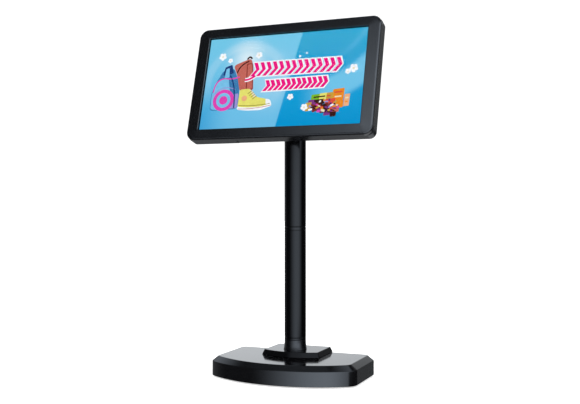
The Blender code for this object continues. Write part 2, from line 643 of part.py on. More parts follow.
def electronics(mats, parent, offset):
    """Driver board with its sockets, and the small board under the power button."""
    low_x = BOARD_CENTRE[0] - BOARD_HALF[0]
    high_x = BOARD_CENTRE[0] + BOARD_HALF[0]
    low_z = BOARD_CENTRE[1] - BOARD_HALF[1]
    high_z = BOARD_CENTRE[1] + BOARD_HALF[1]
    board = place("driver_board", box((low_x, BOARD_FRONT, low_z), (high_x, BOARD_BACK, high_z)),
                  mats["board"], parent, offset)
    sunk = BOARD_BACK - 0.0005
    chips = [box((-0.0300, sunk, 0.0000), (-0.0140, 0.0155, 0.0160)),
             box((0.0060, sunk, -0.0340), (0.0150, 0.0152, -0.0250)),
             box((-0.0480, sunk, -0.0300), (-0.0410, 0.0150, -0.0180))]
    combine(board, chips, "UNION")
    holes = [turned_depth([(0.0014, 0.0110), (0.0014, 0.0150)], HOLE_ROUND, spot)
             for spot in board_screw_places()]
    combine(board, holes, "DIFFERENCE")
    seat = BOARD_BACK + GAP
    low = -0.0400
    high = -0.0310
    socket = place("video_socket", box((-0.0300, seat, low), (-0.0120, seat + 0.0046, high)),
                   mats["socket"], parent, offset)
    combine(socket, [box((-0.0280, seat + 0.0014, low - 0.002), (-0.0140, seat + 0.0034, high - 0.002))],
            "DIFFERENCE")
    socket = place("power_socket", box((0.0200, seat, low), (0.0290, seat + 0.0050, high)),
                   mats["socket"], parent, offset)
    combine(socket, [box((0.0216, seat + 0.0016, low - 0.002), (0.0274, seat + 0.0036, high - 0.002))],
            "DIFFERENCE")
    x, z = BUTTON_PLACE
    switch = place("button_switch", box((x - 0.008, 0.0105, z - 0.005), (x + 0.008, 0.0121, z + 0.005)),
                   mats["board"], parent, offset)
    combine(switch, [box((x - 0.003, 0.0116, z - 0.003), (x + 0.003, 0.0152, z + 0.003)),
                     turned_depth([(0.0017, 0.0148), (0.0017, 0.0163)], SCREW_ROUND, (x, z))], "UNION")


def hinge_bracket(mat, parent, offset):
    """Square plate screwed to the rear cover, with two ears that carry the tilt bolt."""
    front = DISPLAY_DEPTH + GAP
    back = front + BRACKET_THICK
    bracket = slab("hinge_bracket", (PLATE_HALF, PLATE_HALF), 0.006, front, back, mat, parent, offset)
    reach = PIN_TO_FRONT - back + 0.001
    root_half = 0.015
    ears = []
    for side in (-1, 1):
        outline = [(y + PIN_TO_FRONT, z - SCREEN_RISE)
                   for y, z in ear_outline(EAR_RADIUS, reach, root_half, "forward")]
        ears.append(loft([sideways(outline, side * EAR_INNER), sideways(outline, side * EAR_OUTER)]))
    combine(bracket, ears, "UNION")
    bolt_way = [(y + PIN_TO_FRONT, z - SCREEN_RISE) for y, z in circle(PIN_RADIUS + GAP, SMALL_ROUND)]
    cuts = [loft([sideways(bolt_way, -0.020), sideways(bolt_way, 0.020)])]
    window = 0.0130
    clearance = 0.0024
    cuts.append(turned_depth([(window, front - 0.001), (window, back + 0.001)], WIDE_ROUND))
    cuts += [turned_depth([(clearance, front - 0.001), (clearance, back + 0.001)], POST_ROUND, spot)
             for spot in corners((VESA_HALF, VESA_HALF))]
    combine(bracket, cuts, "DIFFERENCE")


def hinge_fasteners(steel, nylon, parent):
    """Tilt bolt, its nut and the friction washers, about the bolt's axis."""
    head = EAR_OUTER + GAP
    bolt = [(0.0024, -head - 0.0014), (0.0030, -head - 0.0032), (0.0040, -head - 0.0032),
            (0.0052, -head - 0.0016), (0.0052, -head), (PIN_RADIUS, -head), (PIN_RADIUS, 0.0238),
            (0.0022, 0.0246)]
    place("hinge_bolt", turned_across(bolt), steel, parent)
    hexagon = circle(0.0058, 6)
    far = head + 0.0050
    nut = place("hinge_nut", loft([sideways(hexagon, head), sideways(hexagon, far)]), steel, parent)
    combine(nut, [turned_across([(PIN_RADIUS + GAP, head - 0.002), (PIN_RADIUS + GAP, far + 0.002)])],
            "DIFFERENCE")
    for side, name in ((-1, "friction_washer_left"), (1, "friction_washer_right")):
        near = side * (ARM_OUTER + GAP)
        far = side * (EAR_INNER - GAP)
        outer = EAR_RADIUS - 0.001
        ring = [(PIN_RADIUS + GAP, near), (outer, near), (outer, far), (PIN_RADIUS + GAP, far)]
        place(name, turned_across(ring, FOOT_ROUND, closed=True), nylon, parent)


def display_fasteners(steel, parent, offset):
    """Screws of the bracket, the rear cover, the chassis and the driver board, all driven from behind."""
    bracket_back = DISPLAY_DEPTH + GAP + BRACKET_THICK
    groups = (("bracket_screw", corners((VESA_HALF, VESA_HALF)), bracket_back + GAP,
               (0.0038, 0.0024, 0.0020, 0.0090)),
              ("cover_screw", corners(COVER_SCREWS), COVER_SCREW_SEAT, (0.0027, 0.0018, 0.0011, 0.0090)),
              ("chassis_screw", corners(CHASSIS_SCREWS), CHASSIS_BACK + GAP,
               (0.0022, 0.0013, 0.0011, 0.0060)),
              ("board_screw", board_screw_places(), BOARD_BACK + GAP, (0.0021, 0.0012, 0.0009, 0.0040)))
    for name, spots, seat, sizes in groups:
        for index, spot in enumerate(spots):
            profile = [(radius, seat + height) for radius, height in screw(*sizes)]
            mesh = turned_depth(profile, SCREW_ROUND, spot)
            place("%s_%d" % (name, index + 1), mesh, steel, parent, offset)


def inlet_grommet(mat, parent, offset):
    """Rubber grommet where the cables enter the rear cover."""
    profile = grommet_profile(0.0050, INLET_RADIUS - GAP, 0.0105, DISPLAY_DEPTH - COVER_WALL, DISPLAY_DEPTH)
    place("inlet_grommet", turned_depth(profile, WIDE_ROUND, closed=True), mat, parent, offset)


def power_button(mat, parent):
    """Push button: a domed cap through the rear cover, a captive flange and a stem."""
    stem = 0.0015
    flange = 0.0052
    cap = BUTTON_HOLE - GAP
    profile = [(stem, -0.0049), (stem, -0.0037), (flange, -0.0037), (flange, -0.0025), (cap, -0.0025),
               (cap, 0.0009), (cap - 0.0004, 0.0013), (cap / 2, 0.0015)]
    place("power_button", turned_depth(profile, FOOT_ROUND), mat, parent)


def build():
    """Make every piece."""
    clear_scene()
    plastic = material("satin_plastic", (0.012, 0.013, 0.015), 0.34)
    gloss = material("gloss_plastic", (0.010, 0.010, 0.012), 0.10)
    tube_mat = material("coated_tube", (0.010, 0.011, 0.013), 0.22, 0.1)
    trim = material("dark_trim", (0.030, 0.031, 0.034), 0.30, 0.6)
    steel = material("zinc_steel", (0.55, 0.56, 0.58), 0.35, 1.0)
    sheet = material("coated_sheet", (0.018, 0.018, 0.020), 0.45, 0.2)
    iron = material("cast_iron", (0.08, 0.08, 0.085), 0.70, 0.8)
    rubber = material("rubber", (0.020, 0.020, 0.021), 0.85)
    nylon = material("nylon", (0.60, 0.59, 0.55), 0.50)
    display_mats = {"glass": material("cover_glass", (0.02, 0.05, 0.07), 0.05),
                    "picture": material("picture", (0.05, 0.45, 0.72), 0.30),
                    "steel": steel,
                    "board": material("board", (0.02, 0.16, 0.06), 0.45),
                    "socket": material("socket", (0.03, 0.03, 0.03), 0.50)}

    base_cover(gloss)
    base_plate(sheet)
    ballast_weight(iron)
    pole_flange(gloss)
    feet(rubber)
    base_fasteners(steel)
    pole(tube_mat, trim, nylon)
    cable_grommet(rubber)

    swivel_axis = empty("swivel_axis", (0.0, POLE_Y, PIN_Z))
    hinge_head(sheet, nylon, steel, swivel_axis)

    tilt_axis = empty("tilt_axis", (0.0, 0.0, 0.0), swivel_axis, (-TILT, 0.0, 0.0))
    offset = (0.0, -PIN_TO_FRONT, SCREEN_RISE)
    front_bezel(plastic, tilt_axis, offset)
    rear_cover(plastic, tilt_axis, offset)
    screen_stack(display_mats, tilt_axis, offset)
    electronics(display_mats, tilt_axis, offset)
    hinge_bracket(sheet, tilt_axis, offset)
    hinge_fasteners(steel, nylon, tilt_axis)
    display_fasteners(steel, tilt_axis, offset)
    inlet_grommet(rubber, tilt_axis, offset)

    button_spot = (BUTTON_PLACE[0], DISPLAY_DEPTH - PIN_TO_FRONT, BUTTON_PLACE[1] + SCREEN_RISE)
    power_button(plastic, empty("button_axis", button_spot, tilt_axis))


build()
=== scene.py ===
"""Looks of the customer pole display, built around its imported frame.

Metres, +Z up, +X to the viewer's right, +Y to the back. Pieces of the display are built in screen
coordinates, (x, depth behind the bezel's front, height above the picture's middle), and SCREEN places them.
"""

import json
import math
from functools import partial

import bmesh
import bpy
from mathutils import Matrix, Vector


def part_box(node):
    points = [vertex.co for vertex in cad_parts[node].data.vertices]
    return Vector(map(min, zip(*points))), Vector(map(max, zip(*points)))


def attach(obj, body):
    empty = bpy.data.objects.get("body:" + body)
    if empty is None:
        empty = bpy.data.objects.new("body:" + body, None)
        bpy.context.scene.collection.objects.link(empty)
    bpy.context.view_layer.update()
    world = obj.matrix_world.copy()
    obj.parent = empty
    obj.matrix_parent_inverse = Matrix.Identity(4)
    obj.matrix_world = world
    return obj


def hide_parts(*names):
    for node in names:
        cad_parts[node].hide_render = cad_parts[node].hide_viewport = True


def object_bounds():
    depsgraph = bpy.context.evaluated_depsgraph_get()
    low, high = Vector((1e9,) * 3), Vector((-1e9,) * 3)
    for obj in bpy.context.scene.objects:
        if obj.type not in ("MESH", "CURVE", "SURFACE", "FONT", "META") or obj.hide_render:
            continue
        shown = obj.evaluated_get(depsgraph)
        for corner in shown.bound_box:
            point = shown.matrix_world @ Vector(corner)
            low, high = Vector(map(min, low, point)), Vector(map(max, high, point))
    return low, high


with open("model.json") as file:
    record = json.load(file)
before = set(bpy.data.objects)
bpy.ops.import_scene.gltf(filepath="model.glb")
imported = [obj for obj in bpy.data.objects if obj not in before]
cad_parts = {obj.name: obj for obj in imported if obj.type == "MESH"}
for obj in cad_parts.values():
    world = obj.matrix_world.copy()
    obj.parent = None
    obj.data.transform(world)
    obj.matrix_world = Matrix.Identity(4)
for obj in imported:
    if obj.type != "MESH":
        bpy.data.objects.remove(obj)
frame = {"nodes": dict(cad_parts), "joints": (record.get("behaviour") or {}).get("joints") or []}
CAD_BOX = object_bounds()


# Sizes, in metres.

GAP = 0.0003                 # between two touching pieces
EDGE = 0.0006                # rounding of a moulded edge
GROOVE = 0.0006              # depth of the line beside a ring
CABLE_RADIUS = 0.0080
SPIGOT_RADIUS = 0.0122       # of what fits into a tube
TUBE_BORE = 0.0125
NECK_BORE = 0.0093           # of what the yoke's spigot turns in
TUBE_LOW, TUBE_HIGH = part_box("lower_tube")
TUBE_RADIUS = (TUBE_HIGH.x - TUBE_LOW.x) / 2
POLE = ((TUBE_LOW.x + TUBE_HIGH.x) / 2, (TUBE_LOW.y + TUBE_HIGH.y) / 2)

# Base outlines: half width, front apex, front arc radius, back, front and back corner radius.
BASE_RIM = (0.1010, -0.0855, 0.165, 0.037, 0.018, 0.009)
BASE_DECK = (0.0925, -0.079, 0.150, 0.0335, 0.011, 0.006)
FLANGE_FOOT = (0.0412, -0.0295, 0.078, 0.0365, 0.003, 0.002)
FLANGE_DECK = (0.0380, -0.0265, 0.075, 0.0350, 0.002, 0.0015)
BASE_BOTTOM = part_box("base_cover")[0].z
BASE_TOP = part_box("base_cover")[1].z
BASE_BACK = POLE[1] + BASE_RIM[3]
BASE_WALL = 0.0025
CHAMFER_Z = BASE_TOP - 0.0066
FLANGE_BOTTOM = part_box("pole_flange")[0].z
FLANGE_TOP = FLANGE_BOTTOM + 0.0068
BOSS_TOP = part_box("lower_collar")[0].z - GAP
SPIGOT_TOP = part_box("pole_flange")[1].z
# The boss's flare: how much wider than the tube, and how far above the flange's top.
BOSS_FLARE = ((0.0012, -0.0010), (0.0010, 0.0006), (0.0005, 0.0033), (0.0002, 0.0062), (0.0, 0.0092))
OUTLET = (0.0, 0.0120)       # x and z of the cable outlet
OUTLET_RADIUS = 0.0063

PIN_RADIUS = 0.0030
PIN_HOLE = PIN_RADIUS + GAP
PIN_TO_FRONT = 0.0528        # from the tilt bolt to the bezel's front, square to the screen
SCREEN_RISE = 0.0037         # picture's middle above the tilt bolt, along the screen
ARM_INNER, ARM_OUTER = 0.0085, 0.0130
EAR_INNER, EAR_OUTER = 0.0146, 0.0171
EAR_RADIUS = 0.0090

PICTURE_HALF = (0.11136, 0.06525)
WINDOW_HALF = (PICTURE_HALF[0] + 0.0008, PICTURE_HALF[1] + 0.0008)
BEZEL_HALF = (0.1287, 0.0801)
BEZEL_CORNER = 0.012
BEZEL_EDGE = 0.003
BEZEL_DEPTH = 0.0082
BEZEL_WALL = 0.0022
CROWN = 0.0005               # fall of the bezel's face from its window to its rounded edge
COVER_HALF = (0.1285, 0.0795)
COVER_CORNER = 0.0085
COVER_EDGE = 0.0025
COVER_SIDE = 0.0030
COVER_WALL = 0.0020
TONGUE = (0.0024, 0.0038)    # outer and inner face of the cover's tongue, in from its outline
TONGUE_CORNER = 0.0095
TONGUE_DEPTH = 0.0020
DISPLAY_DEPTH = 0.0225
INNER_BACK = DISPLAY_DEPTH - COVER_WALL
BRACKET_FRONT = DISPLAY_DEPTH + GAP
BRACKET_BACK = BRACKET_FRONT + 0.0025
BRACKET_HALF = (0.042, 0.042)
BUTTON_PLACE = (0.095, -0.060)
VENT_HALF = (0.0010, 0.0070)
VENT_PLACES = [(0.0075 * column, height) for height in (-0.0595, 0.0595) for column in range(-4, 5)]
CELL_FRONT = 0.0037          # depth of the liquid-crystal cell's face
ART_STEP = 0.00004           # depth between two layers of the picture

ROUND = 128                  # sides of a large round piece
WIDE_ROUND = 80              # sides of a large round hole
MIDDLE_ROUND = 64
SMALL_ROUND = 40
AXIS = (0.0, 0.0)

JOINTS = {joint["name"]: joint for joint in frame["joints"]}
PIN = Vector(JOINTS["tilt"]["pos_m"])
DEPTH = -Vector(JOINTS["power_press"]["axis"]).normalized()   # from the screen's face to its back
RISE = Vector((1.0, 0.0, 0.0)).cross(DEPTH)
LEAN = Matrix(((1.0, 0.0, 0.0), DEPTH, RISE)).transposed().to_4x4()
SCREEN = Matrix.Translation(PIN + RISE * SCREEN_RISE - DEPTH * PIN_TO_FRONT) @ LEAN
BOLT = Matrix.Translation(PIN) @ LEAN    # x along the tilt bolt, y to the screen's back, z up the screen
YOKE = Matrix.Translation(PIN)


# Outlines. Each returns one ring of points, anticlockwise where it is closed.

def corners(half):
    """The four places at plus and minus a half size."""
    return [(side_x * half[0], side_y * half[1]) for side_x in (-1, 1) for side_y in (-1, 1)]


MOUNT_HOLES = corners((0.0375, 0.0375))
COVER_SCREWS = corners((0.1215, 0.052))


def arc(centre, radius, start, end, steps):
    """Points of an arc, angles in degrees, both ends included."""
    angles = [math.radians(start + (end - start) * step / steps) for step in range(steps + 1)]
    return [(centre[0] + radius * math.cos(angle), centre[1] + radius * math.sin(angle)) for angle in angles]


def circle(radius, sides, centre=AXIS):
    """Points of a full circle."""
    return arc(centre, radius, 0.0, 360.0 * (sides - 1) / sides, sides - 1)


def quarter_round(steps):
    """How far a quarter circle is from its two ends' lines at each step, as shares of its radius."""
    angles = [math.radians(90.0 * step / steps) for step in range(steps + 1)]
    return [(1 - math.sin(angle), 1 - math.cos(angle)) for angle in angles]


def rectangle(half, radius, steps=12, centre=AXIS):
    """A rectangle with round corners."""
    points = []
    for quarter, (side_x, side_y) in enumerate(((1, 1), (-1, 1), (-1, -1), (1, -1))):
        corner = (centre[0] + side_x * (half[0] - radius), centre[1] + side_y * (half[1] - radius))
        points += arc(corner, radius, 90.0 * quarter, 90.0 * quarter + 90.0, steps)
    return points


def dee(shape, inset=0.0, front_steps=96, corner_steps=16):
    """The base's outline: straight back and sides, a bowed front, and four round corners."""
    half_width, front, bow, back = shape[0] - inset, shape[1] + inset, shape[2] - inset, shape[3] - inset
    front_corner, back_corner = (max(radius - inset, 0.0006) for radius in shape[4:])
    bow_centre = front + bow
    corner_x = half_width - front_corner
    corner_y = bow_centre - math.sqrt((bow - front_corner) ** 2 - corner_x ** 2)
    lean = math.degrees(math.asin(corner_x / (bow - front_corner)))
    points = arc((half_width - back_corner, back - back_corner), back_corner, 0.0, 90.0, corner_steps)
    points += arc((back_corner - half_width, back - back_corner), back_corner, 90.0, 180.0, corner_steps)
    points += arc((-corner_x, corner_y), front_corner, 180.0, 270.0 - lean, corner_steps)
    points += arc((0.0, bow_centre), bow, 270.0 - lean, 270.0 + lean, front_steps)[1:-1]
    points += arc((corner_x, corner_y), front_corner, 270.0 + lean, 360.0, corner_steps)
    return [(x + POLE[0], y + POLE[1]) for x, y in points]


def ear_outline(reach, half_width, forward):
    """A tab's outline: round about the tilt bolt, and straight down or forward to its root."""
    if forward:
        return arc(AXIS, EAR_RADIUS, -80.0, 80.0, 32) + [(-reach, half_width), (-reach, -half_width)]
    return arc(AXIS, EAR_RADIUS, 0.0, 180.0, 32) + [(-half_width, -reach), (half_width, -reach)]


def curve(start, bend, end, steps=12):
    """Points of a curve that leaves start towards bend and reaches end from it."""
    points = []
    for step in range(steps + 1):
        t = step / steps
        near, far = Vector(start) * (1 - t) ** 2, Vector(end) * t ** 2
        points.append(tuple(near + Vector(bend) * (2 * t * (1 - t)) + far))
    return points


def soften(path, closed=False, steps=5):
    """Round a polyline's corners. A corner is its coordinates and how far back its curve starts."""
    points = []
    for index, (*place, reach) in enumerate(path):
        here = Vector(place)
        if reach == 0.0 or (not closed and index in (0, len(path) - 1)):
            points.append(tuple(here))
            continue
        around = (Vector(path[near % len(path)][:-1]) for near in (index - 1, index + 1))
        start, end = (here + (other - here).normalized() * reach for other in around)
        points += curve(start, here, end, steps)
    return points


def shrink(outline, distance):
    """Move an outline inwards, each point along the mean of its two sides' normals."""
    points = []
    for index, point in enumerate(outline):
        here = Vector(point)
        along_in = (here - Vector(outline[index - 1])).normalized()
        along_out = (Vector(outline[(index + 1) % len(outline)]) - here).normalized()
        inward = Vector((-along_in.y - along_out.y, along_in.x + along_out.x)).normalized()
        reach = distance / max(inward.dot(Vector((-along_in.y, along_in.x))), 0.5)
        points.append(tuple(here + inward * reach))
    return points


def flared(radius, inner, face, edge):
    """A hole's cutter profile that widens at the outer face, so that the hole's edge is rounded."""
    return [(radius, inner), (radius, face - edge), (radius + edge * 0.3, face - edge * 0.4),
            (radius + edge, face), (radius + edge, face + 0.001)]


# Solids.

def level(points, height):
    """Lay an outline flat at a height."""
    return [Vector((x, y, height)) for x, y in points]


def upright(points, depth):
    """Stand an outline in the screen's plane at a depth."""
    return [Vector((x, depth, z)) for x, z in points]


def sideways(points, across):
    """Stand an outline of (y, z) points square to the X axis."""
    return [Vector((across, y, z)) for y, z in points]


def loft(rings, closed=False):
    """Skin a list of rings. A closed loft joins the last ring to the first, else both ends are capped."""
    mesh = bmesh.new()
    loops = [[mesh.verts.new(point) for point in ring] for ring in rings]
    pairs = list(zip(loops, loops[1:]))
    if closed:
        pairs.append((loops[-1], loops[0]))
    else:
        mesh.faces.new(loops[0])
        mesh.faces.new(list(reversed(loops[-1])))
    for lower, upper in pairs:
        for index in range(len(lower)):
            after = (index + 1) % len(lower)
            mesh.faces.new((lower[index], upper[index], upper[after], lower[after]))
    bmesh.ops.recalc_face_normals(mesh, faces=mesh.faces)
    return mesh


def turned(profile, sides=ROUND, centre=POLE, closed=False, lay=level):
    """Turn a profile of (radius, place) points about the pole's axis, or about another one."""
    return loft([lay(circle(radius, sides, centre), place) for radius, place in profile], closed)


def rod(radius, start, end, sides=SMALL_ROUND, centre=POLE, lay=level):
    """A plain round bar."""
    return turned([(radius, start), (radius, end)], sides, centre, lay=lay)


def plate(outline, near, far, edge, lay=upright, steps=4):
    """A flat plate with rounded edges on both faces."""
    inward = edge if far > near else -edge
    rings = [lay(shrink(outline, edge * inset), near + inward * rise) for inset, rise in quarter_round(steps)]
    rings += [lay(shrink(outline, edge * inset), far - inward * rise)
              for inset, rise in reversed(quarter_round(steps))]
    return loft(rings)


def link(name, data):
    """A new object in the scene."""
    obj = bpy.data.objects.new(name, data)
    bpy.context.scene.collection.objects.link(obj)
    return obj


def blank(name, mesh):
    """A new object from a bmesh, not yet placed."""
    data = bpy.data.meshes.new(name)
    mesh.to_mesh(data)
    mesh.free()
    return link(name, data)


def gather(meshes, data):
    """Put several bmeshes into one mesh."""
    whole = bmesh.new()
    for mesh in meshes:
        mesh.to_mesh(data)
        mesh.free()
        whole.from_mesh(data)
    whole.to_mesh(data)
    whole.free()


def combine(obj, tools, operation="DIFFERENCE"):
    """Cut tools from an object, or join them to it. The tools are clear of each other."""
    data = bpy.data.meshes.new("tool")
    gather(tools, data)
    helper = link("tool", data)
    step = obj.modifiers.new("step", "BOOLEAN")
    step.operation = operation
    step.solver = "EXACT"
    step.object = helper
    bpy.context.view_layer.update()
    result = bpy.data.meshes.new_from_object(obj.evaluated_get(bpy.context.evaluated_depsgraph_get()))
    obj.modifiers.clear()
    obj.data = result
    bpy.data.objects.remove(helper, do_unlink=True)
    bpy.data.meshes.remove(data)


def finish_piece(obj, finish, body, matrix=None):
    """Give a piece its place, its material, smooth faces with crisp edges and its body, and hide the CAD node
    it stands for.
    """
    obj.data.name = obj.name
    if matrix is not None:
        obj.data.transform(matrix)
    obj.data.materials.clear()
    obj.data.materials.append(FINISH[finish])
    obj.data.shade_smooth()
    obj.data.set_sharp_from_angle(angle=math.radians(32.0))
    weighted = obj.modifiers.new("flat_faces", "WEIGHTED_NORMAL")
    weighted.keep_sharp = True
    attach(obj, body)
    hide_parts(obj.name.removesuffix("_fine"))


def make_piece(node, mesh, finish, body, matrix=None):
    """A whole piece from one mesh."""
    finish_piece(blank(node + "_fine", mesh), finish, body, matrix)


# Procedural materials. An input is a number, a colour or the socket it is linked to.

def fill(node, inputs):
    """Set a node's inputs."""
    for key, value in inputs.items():
        if isinstance(value, bpy.types.NodeSocket):
            node.id_data.links.new(value, node.inputs[key])
        else:
            node.inputs[key].default_value = value
    return node


def add(tree, kind, inputs):
    """A new node."""
    return fill(tree.nodes.new("ShaderNode" + kind), inputs)


def shader(name, colour, roughness, metallic=0.0, specular=0.5):
    """A Principled material; returns it with its node tree and its shader."""
    material = bpy.data.materials.new(name)
    material.use_nodes = True
    tree = material.node_tree
    principled = fill(tree.nodes["Principled BSDF"], {"Base Color": (*colour, 1.0), "Roughness": roughness,
                                                      "Metallic": metallic, "Specular IOR Level": specular})
    return material, tree, principled


def noise(tree, scale, detail=2.0, stretch=(1.0, 1.0, 1.0)):
    """Noise over the object's own coordinates. Scale is in features per metre."""
    place = add(tree, "TexCoord", {}).outputs["Object"]
    mapping = add(tree, "Mapping", {"Vector": place, "Scale": stretch}).outputs["Vector"]
    return add(tree, "TexNoise", {"Vector": mapping, "Scale": scale, "Detail": detail}).outputs["Fac"]


def spread(source, low, high, start=0.3, end=0.7, easing="LINEAR"):
    """Map the range from start to end onto low to high; a noise's middle range unless told otherwise."""
    remap = add(source.node.id_data, "MapRange", {"Value": source, "From Min": start, "From Max": end,
                                                  "To Min": low, "To Max": high})
    remap.interpolation_type = easing
    return remap.outputs["Result"]


def ramp(source, stops):
    """Colours by position."""
    node = add(source.node.id_data, "ValToRGB", {"Fac": source})
    elements = node.color_ramp.elements
    while len(elements) < len(stops):
        elements.new(0.5)
    for element, (position, colour) in zip(elements, stops):
        element.position = position
        element.color = (*colour, 1.0)
    return node.outputs["Color"]


def textured(name, first, second, roughness, grain, depth, metallic=0.0, specular=0.5, patch=35.0,
             stretch=(1.0, 1.0, 1.0), strength=0.5):
    """A finish with a fine grain, uneven gloss in soft patches, and a little colour variation."""
    material, tree, principled = shader(name, first, roughness[0], metallic, specular)
    fine = noise(tree, grain, 2.0, stretch)
    bump = add(tree, "Bump", {"Strength": strength, "Distance": depth, "Height": fine})
    fill(principled, {"Roughness": spread(noise(tree, patch, 3.0), *roughness),
                      "Normal": bump.outputs["Normal"],
                      "Base Color": ramp(fine, ((0.3, first), (0.7, second)))})
    return material


def make_materials():
    """Every finish of the object by its slot's name."""
    along_z = (1.0, 1.0, 12.0)
    rows = (
        ("satin_plastic", (0.0019, 0.0020, 0.0026), (0.0030, 0.0032, 0.0040), (0.22, 0.26), 2600.0, 0.00004,
         {"specular": 0.8, "strength": 0.25}),
        ("coated_tube", (0.0010, 0.0010, 0.0012), (0.0014, 0.0014, 0.0017), (0.11, 0.14), 520.0, 0.000012,
         {"specular": 0.21, "strength": 0.25}),
        ("dark_trim", (0.0010, 0.0010, 0.0012), (0.0016, 0.0016, 0.0018), (0.13, 0.18), 900.0, 0.00002,
         {"specular": 0.25, "stretch": along_z}),
        ("coated_sheet", (0.0080, 0.0080, 0.0090), (0.0125, 0.0125, 0.0135), (0.42, 0.52), 1300.0, 0.00010,
         {"strength": 0.6}),
        ("cast_iron", (0.05, 0.05, 0.052), (0.10, 0.10, 0.10), (0.6, 0.8), 700.0, 0.0003, {"metallic": 0.7}),
        ("rubber", (0.010, 0.010, 0.011), (0.018, 0.018, 0.019), (0.68, 0.84), 1500.0, 0.00008,
         {"specular": 0.3}),
        ("nylon", (0.56, 0.55, 0.50), (0.66, 0.65, 0.61), (0.40, 0.50), 1200.0, 0.00003, {}),
        ("zinc_steel", (0.50, 0.51, 0.54), (0.66, 0.66, 0.66), (0.24, 0.36), 900.0, 0.00002,
         {"metallic": 1.0, "patch": 180.0, "stretch": (1.0, 1.0, 6.0)}),
        ("panel_steel", (0.46, 0.47, 0.49), (0.60, 0.61, 0.62), (0.30, 0.42), 140.0, 0.00003,
         {"metallic": 1.0, "patch": 90.0}),
        ("board", (0.008, 0.075, 0.030), (0.020, 0.145, 0.055), (0.30, 0.42), 420.0, 0.00006,
         {"stretch": (1.0, 1.0, 5.0)}),
        ("socket", (0.014, 0.014, 0.015), (0.026, 0.026, 0.027), (0.40, 0.52), 1800.0, 0.00004, {}),
        ("picture", (0.002, 0.002, 0.003), (0.003, 0.003, 0.004), (0.10, 0.14), 300.0, 0.00001, {}),
    )
    made = {name: textured(name, *looks, **more) for name, *looks, more in rows}
    # The last row is the same plastic with a much lower specular level, used on the flange plate's sides:
    # painted shade that makes them read darker.
    for name, roughness, specular in (("gloss_plastic", (0.09, 0.12), 0.5), ("gloss_plate", (0.09, 0.12), 0.32),
                                      ("gloss_boss", (0.20, 0.24), 0.45), ("plate_side_shaded", (0.09, 0.12), 0.09)):
        made[name] = textured(name, (0.0026, 0.0027, 0.0032), (0.0034, 0.0035, 0.0040), roughness, 420.0,
                              0.000012, specular=specular, patch=22.0, strength=0.25)
    made["screen_glass"], tree, principled = shader("screen_glass", (0.96, 0.98, 1.0), 0.02)
    fill(principled, {"Transmission Weight": 1.0, "IOR": 1.10,
                      "Roughness": spread(noise(tree, 40.0, 3.0), 0.01, 0.035)})
    return made


FINISH = make_materials()


# Stand.

def chamfered_rings(foot, deck, path):
    """Rings of a shape that changes from one outline to another. A path point is (share, inset, height)."""
    rings = []
    for share, inset, height in path:
        pairs = zip(dee(foot, inset), dee(deck, inset))
        rings.append(level([(a[0] + (b[0] - a[0]) * share, a[1] + (b[1] - a[1]) * share)
                            for a, b in pairs], height))
    return rings


def soft_path(run, path):
    """Soften a path whose shares stand for a chamfer of a given run, so that one radius fits both ways."""
    scaled = [(share * run, inset, height, reach) for share, inset, height, reach in path]
    return [(share / run, inset, height) for share, inset, height in soften(scaled)]


def base_moulding():
    """Glossy base cover: a bowed wall, a chamfer and a flat deck, hollow below, with its cable outlet."""
    run = abs(BASE_RIM[1] - BASE_DECK[1])
    inside = [(1.0, BASE_WALL, BASE_TOP - BASE_WALL), (0.0, BASE_WALL, CHAMFER_Z - 0.001),
              (0.0, BASE_WALL, BASE_BOTTOM)]
    outside = soft_path(run, [(0.0, 0.0018, BASE_BOTTOM, 0.0), (0.0, 0.0, BASE_BOTTOM, EDGE),
                              (0.0, 0.0, CHAMFER_Z, EDGE), (1.0, 0.0, BASE_TOP, EDGE),
                              (1.0, 0.0030, BASE_TOP, 0.0)])
    cover = blank("base_cover_fine", loft(chamfered_rings(BASE_RIM, BASE_DECK, inside + outside)))
    combine(cover, [rod(CABLE_RADIUS, BASE_TOP - 0.006, BASE_TOP + 0.002, MIDDLE_ROUND),
                    rod(OUTLET_RADIUS, BASE_BACK - 0.006, BASE_BACK + 0.002, MIDDLE_ROUND, OUTLET, upright)])
    finish_piece(cover, "gloss_plastic", "stand")


def flange_moulding():
    """Plate in the base's outline, with a flared boss and the spigot that holds the lower tube."""
    run = abs(FLANGE_FOOT[1] - FLANGE_DECK[1])
    path = soft_path(run, [(0.0, 0.0020, FLANGE_BOTTOM, 0.0), (0.0, 0.0, FLANGE_BOTTOM, 0.0004),
                           (1.0, 0.0, FLANGE_TOP, 0.0005), (1.0, 0.0014, FLANGE_TOP, 0.0)])
    flange = blank("pole_flange_fine", loft(chamfered_rings(FLANGE_FOOT, FLANGE_DECK, path)))
    flare = [(TUBE_RADIUS + wide, FLANGE_TOP + rise, 0.0012 if rise > 0 else 0.0) for wide, rise in BOSS_FLARE]
    post = soften([(0.0110, FLANGE_TOP - 0.005, 0.0)] + flare +
                  [(TUBE_RADIUS, BOSS_TOP, 0.0004), (SPIGOT_RADIUS, BOSS_TOP, 0.0),
                   (SPIGOT_RADIUS, SPIGOT_TOP - 0.001, 0.0), (SPIGOT_RADIUS - 0.001, SPIGOT_TOP, 0.0)])
    combine(flange, [turned(post)], "UNION")
    combine(flange, [rod(CABLE_RADIUS, FLANGE_BOTTOM - 0.01, SPIGOT_TOP + 0.01, MIDDLE_ROUND)])
    finish_piece(flange, "gloss_plate", "stand")
    # Faces of the plate other than its top and the boss take the less reflective copy: painted shade on the
    # plate's sides, chamfers and underside.
    flange.data.materials.append(FINISH["plate_side_shaded"])
    flange.data.materials.append(FINISH["gloss_boss"])
    boss = TUBE_RADIUS + BOSS_FLARE[1][0]
    for face in flange.data.polygons:
        from_axis = math.hypot(face.center.x - POLE[0], face.center.y - POLE[1])
        if face.center.z > FLANGE_TOP + 0.0001 and from_axis < boss:
            face.material_index = 2
        elif face.normal.z < 0.9:
            face.material_index = 1


